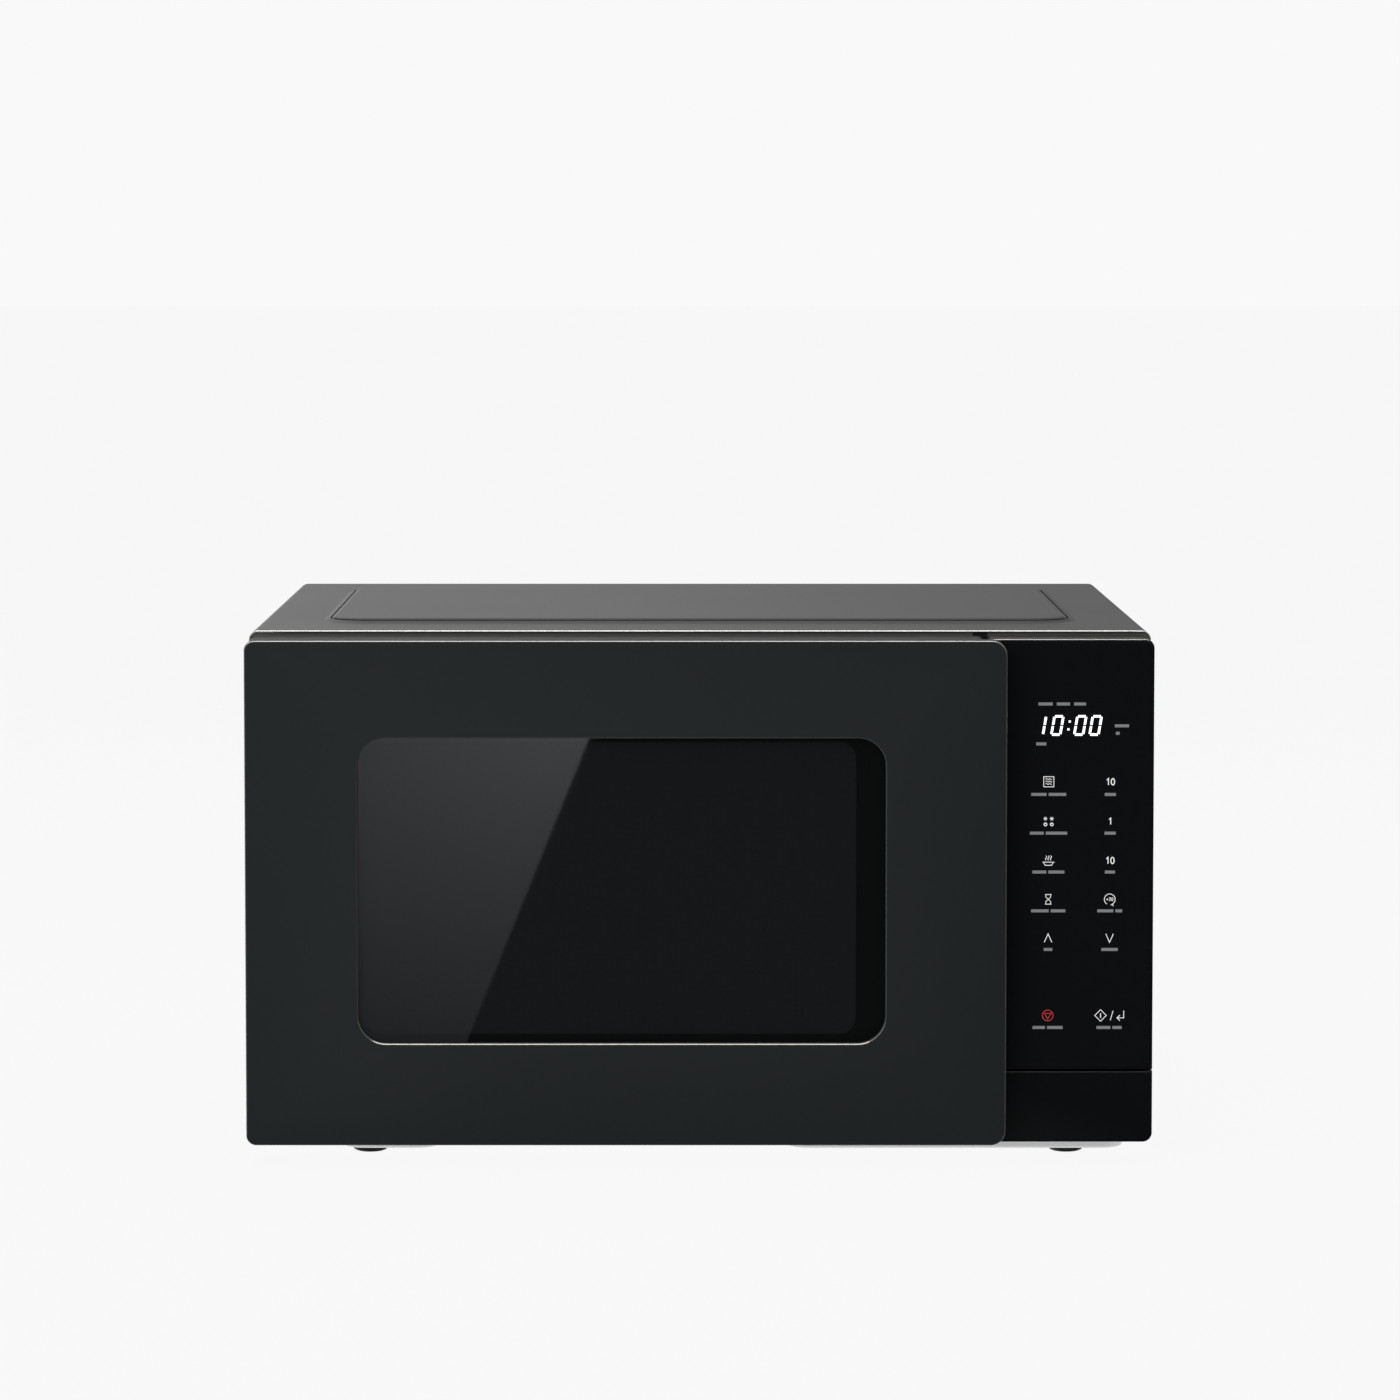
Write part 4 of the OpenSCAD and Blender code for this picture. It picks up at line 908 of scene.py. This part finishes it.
def add_lug(bm, centre, angle, z):
    """A driving lug under the tray, slightly narrower at its foot."""
    outward = Vector((math.cos(angle), math.sin(angle), 0))
    aside = Vector((-math.sin(angle), math.cos(angle), 0))
    rows = []
    for half, level in ((LUG_HALF, z - LUG_GAP), (4.9 * MM, z - LUG_H + 0.8 * MM),
                        (4.3 * MM, z - LUG_H)):
        lip = LUG_HALF - half
        corners = ((LUG_INNER + lip, -half), (LUG_OUTER - lip, -half), (LUG_OUTER - lip, half),
                   (LUG_INNER + lip, half))
        middle = Vector((*centre, level))
        rows.append([bm.verts.new(middle + outward * r + aside * s) for r, s in corners])
    bm.faces.new(rows[0])
    bm.faces.new(rows[-1])
    for a, b in zip(rows, rows[1:]):
        for k in range(4):
            bm.faces.new((a[k], a[(k + 1) % 4], b[(k + 1) % 4], b[k]))


# ---------------------------------------------------------------- panel printing

# Places on the panel are X and Z in millimetres
LEFT_X, RIGHT_X = 186.3, 219.2          # the two columns of keys
POWER_Z, DEFROST_Z, MENU_Z, TIMER_Z, START_Z = 205.4, 184.2, 163.1, 142.2, 79.6
PRINT_Y = touch_low.y
LINE = 0.36             # width of a printed line
THIN, BOLD, SYMBOL = 0.34, 0.55, 0.4
MITRE_LIMIT = 0.45      # keeps the corner of a sharp bend from running out too far
NUMBER_H = 3.4
LABEL_H = 1.6
WORD_GAP = 1.1

# Strokes of each figure, in a box one high
GLYPHS = {
    "1": [[(0.12, 0.76), (0.38, 1.0), (0.38, 0.0)]],
    "0": [[(0.3 + 0.27 * math.cos(math.radians(a)), 0.5 + 0.5 * math.sin(math.radians(a)))
           for a in range(0, 360, 30)]],
    "3": [[(0.04, 0.93), (0.3, 1.0), (0.53, 0.77), (0.26, 0.53), (0.56, 0.27), (0.3, 0.0),
           (0.02, 0.07)]],
    "+": [[(0.0, 0.45), (0.6, 0.45)], [(0.3, 0.15), (0.3, 0.75)]],
}
CLOSED_GLYPHS = {"0"}
GLYPH_HALF_W, GLYPH_ADVANCE = 0.3, 0.78

# Centre, height, widths of the bars that stand for words, and the gap between them
LABELS = (
    (LEFT_X, 198.6, (8.2, 9.4), WORD_GAP), (LEFT_X, 177.8, (7.4, 11.4), WORD_GAP),
    (LEFT_X, 156.9, (7.4, 8.6), WORD_GAP), (LEFT_X, 136.0, (9.4, 7.8), WORD_GAP),
    (LEFT_X, 115.2, (4.6,), WORD_GAP), (LEFT_X, 73.1, (6.6, 8.4), WORD_GAP),
    (RIGHT_X, 198.6, (6.0,), WORD_GAP), (RIGHT_X, 177.8, (6.0,), WORD_GAP),
    (RIGHT_X, 156.9, (5.4,), WORD_GAP), (RIGHT_X, 136.0, (8.6, 3.6), WORD_GAP),
    (RIGHT_X, 115.2, (8.8,), WORD_GAP), (RIGHT_X, 73.1, (7.4, 5.0), WORD_GAP),
    (193.3, 247.1, (7.6, 7.0, 6.4), 2.2), (225.2, 235.4, (7.6,), WORD_GAP),
    (223.0, 231.4, (2.0,), WORD_GAP), (182.2, 225.7, (5.4,), WORD_GAP),
)

# Clock: the ends of each bar in half heights and widths of a figure
SEGMENTS = {"a": ((0, 2), (1, 2)), "b": ((1, 1), (1, 2)), "c": ((1, 0), (1, 1)),
            "d": ((0, 0), (1, 0)), "e": ((0, 0), (0, 1)), "f": ((0, 1), (0, 2))}
DIGIT_Z, DIGIT_H, DIGIT_W, SLANT = 235.6, 9.8, 4.7, 0.17
SEGMENT_W, SEGMENT_TRIM = 1.25, 0.34
ONE_X, ZERO_XS, COLON_X = 183.9, (188.4, 200.6, 208.8), 197.0
DOT, DOT_RISE = 1.1, 2.1


def mitre_sides(points, half, closed):
    """Points half a width to the left and to the right of a line, with mitred corners."""
    count = len(points)
    left, right = [], []
    for i, point in enumerate(points):
        before = points[(i - 1) % count] if closed or i > 0 else None
        after = points[(i + 1) % count] if closed or i < count - 1 else None
        normals = []
        for a, b in ((before, point), (point, after)):
            if a is not None and b is not None:
                run = Vector((b[0] - a[0], b[1] - a[1])).normalized()
                normals.append(Vector((-run.y, run.x)))
        normal = sum(normals, Vector((0, 0))).normalized()
        reach = half / max(MITRE_LIMIT, normal.dot(normals[0]))
        left.append((point[0] + normal.x * reach, point[1] + normal.y * reach))
        right.append((point[0] - normal.x * reach, point[1] - normal.y * reach))
    return left, right


def add_stroke(bm, points, width=LINE, closed=False):
    """A raised printed line on the touch panel."""
    left, right = mitre_sides(points, width / 2, closed)
    back = PRINT_Y - PRINT_GAP
    front = back - PRINT_T
    rows = [[bm.verts.new((x * MM, y, z * MM)) for x, z in outline]
            for outline, y in ((left, back), (left, front), (right, front), (right, back))]
    last = len(points) if closed else len(points) - 1
    for a, b in zip(rows, rows[1:] + rows[:1]):
        for i in range(last):
            j = (i + 1) % len(points)
            bm.faces.new((a[i], a[j], b[j], b[i]))
    if not closed:
        bm.faces.new([row[0] for row in rows])
        bm.faces.new([row[-1] for row in reversed(rows)])


def stroke_at(bm, x, z, points, width=LINE, closed=False):
    """A printed line whose points are given from the middle of its symbol."""
    add_stroke(bm, [(x + dx, z + dz) for dx, dz in points], width, closed)


def add_text(bm, text, centre_x, centre_z, height, width):
    """Numbers in a plain single-line hand."""
    advance = GLYPH_ADVANCE * height
    start = centre_x - advance * (len(text) - 1) / 2 - GLYPH_HALF_W * height
    for k, letter in enumerate(text):
        for path in GLYPHS[letter]:
            points = [(start + k * advance + px * height, centre_z + (pz - 0.5) * height)
                      for px, pz in path]
            add_stroke(bm, points, width, letter in CLOSED_GLYPHS)


def add_bars(bm, centre_x, z, widths, gap):
    """Plain bars where the words of a label would be."""
    x = centre_x - (sum(widths) + gap * (len(widths) - 1)) / 2
    for width in widths:
        add_stroke(bm, [(x, z), (x + width, z)], LABEL_H)
        x += width + gap


def draw_power(bm):
    """An oven door with three waves in it."""
    x, z, half = LEFT_X, POWER_Z, 2.7
    stroke_at(bm, x, z, ((-half, -half), (half, -half), (half, half), (-half, half)), closed=True)
    for dz in (-1.2, 0.1, 1.4):
        wave = [(-1.7 + 0.425 * i, dz + 0.32 * math.sin(i * 1.57)) for i in range(9)]
        stroke_at(bm, x, z, wave, 0.3)


def draw_defrost(bm):
    """Two stars over two drops."""
    for side in (-1.7, 1.7):
        x = LEFT_X + side
        for a in (0, 60, 120):
            c, s = 1.05 * math.cos(math.radians(a)), 1.05 * math.sin(math.radians(a))
            stroke_at(bm, x, DEFROST_Z + 1.35, ((-c, -s), (c, s)), 0.32)
        add_stroke(bm, circle(x, DEFROST_Z - 1.7, 0.75, steps=10), 0.5, True)


def draw_menu(bm):
    """A steaming dish."""
    x, z = LEFT_X, MENU_Z
    stroke_at(bm, x, z, ((-3.2, -0.9), (3.2, -0.9)))
    stroke_at(bm, x, z, ((-2.6, -1.2), (-1.7, -2.6), (1.7, -2.6), (2.6, -1.2)))
    for dx in (-1.3, 0, 1.3):
        stroke_at(bm, x + dx, z, ((0, 0.1), (-0.4, 0.9), (0.4, 1.8), (0, 2.6)), THIN)


def draw_timer(bm):
    """An hourglass."""
    x, z = LEFT_X, TIMER_Z
    for dz in (2.6, -2.6):
        stroke_at(bm, x, z, ((-1.7, dz), (1.7, dz)))
    for side in (-1, 1):
        stroke_at(bm, x, z, ((side * 1.3, 2.5), (side * 1.3, 1.2), (-side * 1.3, -1.2),
                             (-side * 1.3, -2.5)), THIN)


def draw_chevrons(bm):
    """Up and down."""
    for x, foot, tip in ((LEFT_X, 119.1, 123.7), (RIGHT_X, 123.6, 119.0)):
        add_stroke(bm, [(x - 2.0, foot), (x, tip), (x + 2.0, foot)], 0.42)


def draw_numbers(bm):
    for text, z in (("10", POWER_Z), ("1", DEFROST_Z), ("10", MENU_Z)):
        add_text(bm, text, RIGHT_X, z, NUMBER_H, BOLD)


def draw_quick(bm):
    """Plus thirty in a turning arrow."""
    add_stroke(bm, circle(RIGHT_X, TIMER_Z, 2.9, -60, 240, 22))
    stroke_at(bm, RIGHT_X, TIMER_Z, ((0.5, -3.2), (1.5, -2.5), (1.9, -3.7)), THIN)
    add_text(bm, "+30", RIGHT_X, TIMER_Z + 0.1, 1.7, 0.28)


def draw_start(bm):
    """A diamond with a bar in it, a slash and a return arrow."""
    diamond_x, arrow_x, z = 214.6, 225.0, START_Z
    stroke_at(bm, diamond_x, z, ((-3.1, 0), (0, -3.1), (3.1, 0), (0, 3.1)), closed=True)
    stroke_at(bm, diamond_x, z, ((0, -1.2), (0, 1.2)), 0.5)
    stroke_at(bm, arrow_x, z, ((-5.2, -2.6), (-3.7, 2.6)))
    stroke_at(bm, arrow_x, z, ((2.0, 2.6), (2.0, -1.3), (-1.4, -1.3)), SYMBOL)
    stroke_at(bm, arrow_x, z, ((0, 0.2), (-1.6, -1.3), (0, -2.8)), SYMBOL)


def draw_labels(bm):
    for values in LABELS:
        add_bars(bm, *values)


def draw_stop(bm):
    """A triangle in a ring."""
    add_stroke(bm, circle(LEFT_X, START_Z, 2.9), 0.38, True)
    stroke_at(bm, LEFT_X, START_Z, ((-1.8, 1.15), (0, -2.0), (1.8, 1.15)), LINE, True)


def add_segment(bm, left, name):
    """One lit bar of a leaning seven-segment figure."""
    ends = []
    for px, pz in SEGMENTS[name]:
        z = (pz - 1) * DIGIT_H / 2
        ends.append(Vector((left + px * DIGIT_W + z * SLANT, DIGIT_Z + z)))
    trim = (ends[1] - ends[0]).normalized() * SEGMENT_TRIM
    add_stroke(bm, [tuple(ends[0] + trim), tuple(ends[1] - trim)], SEGMENT_W)


def draw_clock(bm):
    for name in "bc":
        add_segment(bm, ONE_X - DIGIT_W, name)
    for left in ZERO_XS:
        for name in "abcdef":
            add_segment(bm, left, name)
    for dz in (-DOT_RISE, DOT_RISE):
        x = COLON_X + dz * SLANT
        add_stroke(bm, [(x - DOT / 2, DIGIT_Z + dz), (x + DOT / 2, DIGIT_Z + dz)], DOT)


ICONS = (draw_power, draw_defrost, draw_menu, draw_timer, draw_chevrons, draw_numbers,
         draw_quick, draw_start)
PRINTING = (("panel_icons", "print_grey", ICONS), ("panel_labels", "print_dim", (draw_labels,)),
            ("panel_stop", "print_red", (draw_stop,)), ("clock_digits", "display_lit", (draw_clock,)))


def make_printing():
    for name, material, drawers in PRINTING:
        bm = bmesh.new()
        for draw in drawers:
            draw(bm)
        finish_piece(name, bm, material, "oven")


# ---------------------------------------------------------------- front plate, panel and the rest

FASCIA_R = 0.8 * MM
BUTTON_R = 0.7 * MM
LIP_SHADE_DROP = 6 * MM     # the front plate is painted darker from this far below the door's top, as painted shade under the cabinet's lip
GAP = (0.1468, 0.1547)  # where the plate shows between the door and the control panel, painted near black as painted shade

# CAD nodes that only get rounded edges: node, radius in mm, segments
SOFTENED = (
    ("touch_panel", 0.2, 2), ("choke_cover", 0.3, 2), ("door_hook", 0.5, 2),
    ("cabinet_screws", 0.25, 2), ("cord_gland", 0.6, 3), ("door_frame", 0.7, 3),
    ("inner_window", 0.2, 2), ("roller_ring", 0.4, 2), ("roller_1", 0.5, 3),
    ("roller_2", 0.5, 3), ("roller_3", 0.5, 3), ("turntable_coupler", 0.4, 2),
    ("upper_hinge", 0.25, 2), ("lower_hinge", 0.25, 2), ("waveguide_cover", 0.2, 2),
    ("release_lever", 0.3, 2),
)


def on_panel_front(edge):
    return all(v.co.y < touch_low.y + IN_PLANE for v in edge.verts)


def on_panel_outline(edge):
    """Edges of the fascia's outline, and not of the pockets in its front."""
    return on_panel_front(edge) and any(
        v.co.x > touch_high.x + MM or v.co.z > touch_high.z + MM or v.co.x < touch_low.x - MM
        for v in edge.verts)


def make_fascia():
    bm = clean_copy("control_fascia")
    fillet(bm, FASCIA_R, segments=4, least=45, where=on_panel_outline)
    piece = finish_piece("control_fascia_soft", bm, "panel_plastic", "oven")
    # The panel's rounded top edge gets the same painted highlight as the door's edges
    repaint(piece, "painted_edge_highlight", lambda f: f.center.z > TOP_EDGE_Z and is_front_fillet(f))
    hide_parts("control_fascia")


def make_front_plate():
    """The steel plate round the cavity's mouth, with painted shade: its top edge darker, and near
    black in the gap beside the panel.
    """
    bm = clean_copy("front_plate")
    level = door_high.z - LIP_SHADE_DROP
    cut(bm, Vector((0, 0, level)), Vector((0, 0, 1)))
    for x in GAP:
        cut(bm, Vector((x, 0, 0)), Vector((1, 0, 0)))
    paint = slots["front_plate"]
    piece = finish_piece("front_plate_painted", bm, paint, "oven")
    # Painted shade: the strip that shows over the door is darker, the gap beside the panel near black
    repaint(piece, "painted_lip_shade", lambda f: f.center.z > level)
    repaint(piece, "gap_shade", lambda f: f.center.z > level and GAP[0] < f.center.x < GAP[1])
    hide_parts("front_plate")


def soften_the_rest():
    softened("open_button", BUTTON_R, 4, on_panel_front)
    for node, radius, segments in SOFTENED:
        softened(node, radius * MM, segments)


# ---------------------------------------------------------------- build

make_camera()
make_world()
make_floor()
make_reflection_card()
make_lights()
dress_cad_nodes()
make_door()
make_window_rim()
make_window_border()
make_screen()
make_cabinet()
make_base()
make_tray()
make_printing()
make_fascia()
make_front_plate()
soften_the_rest()
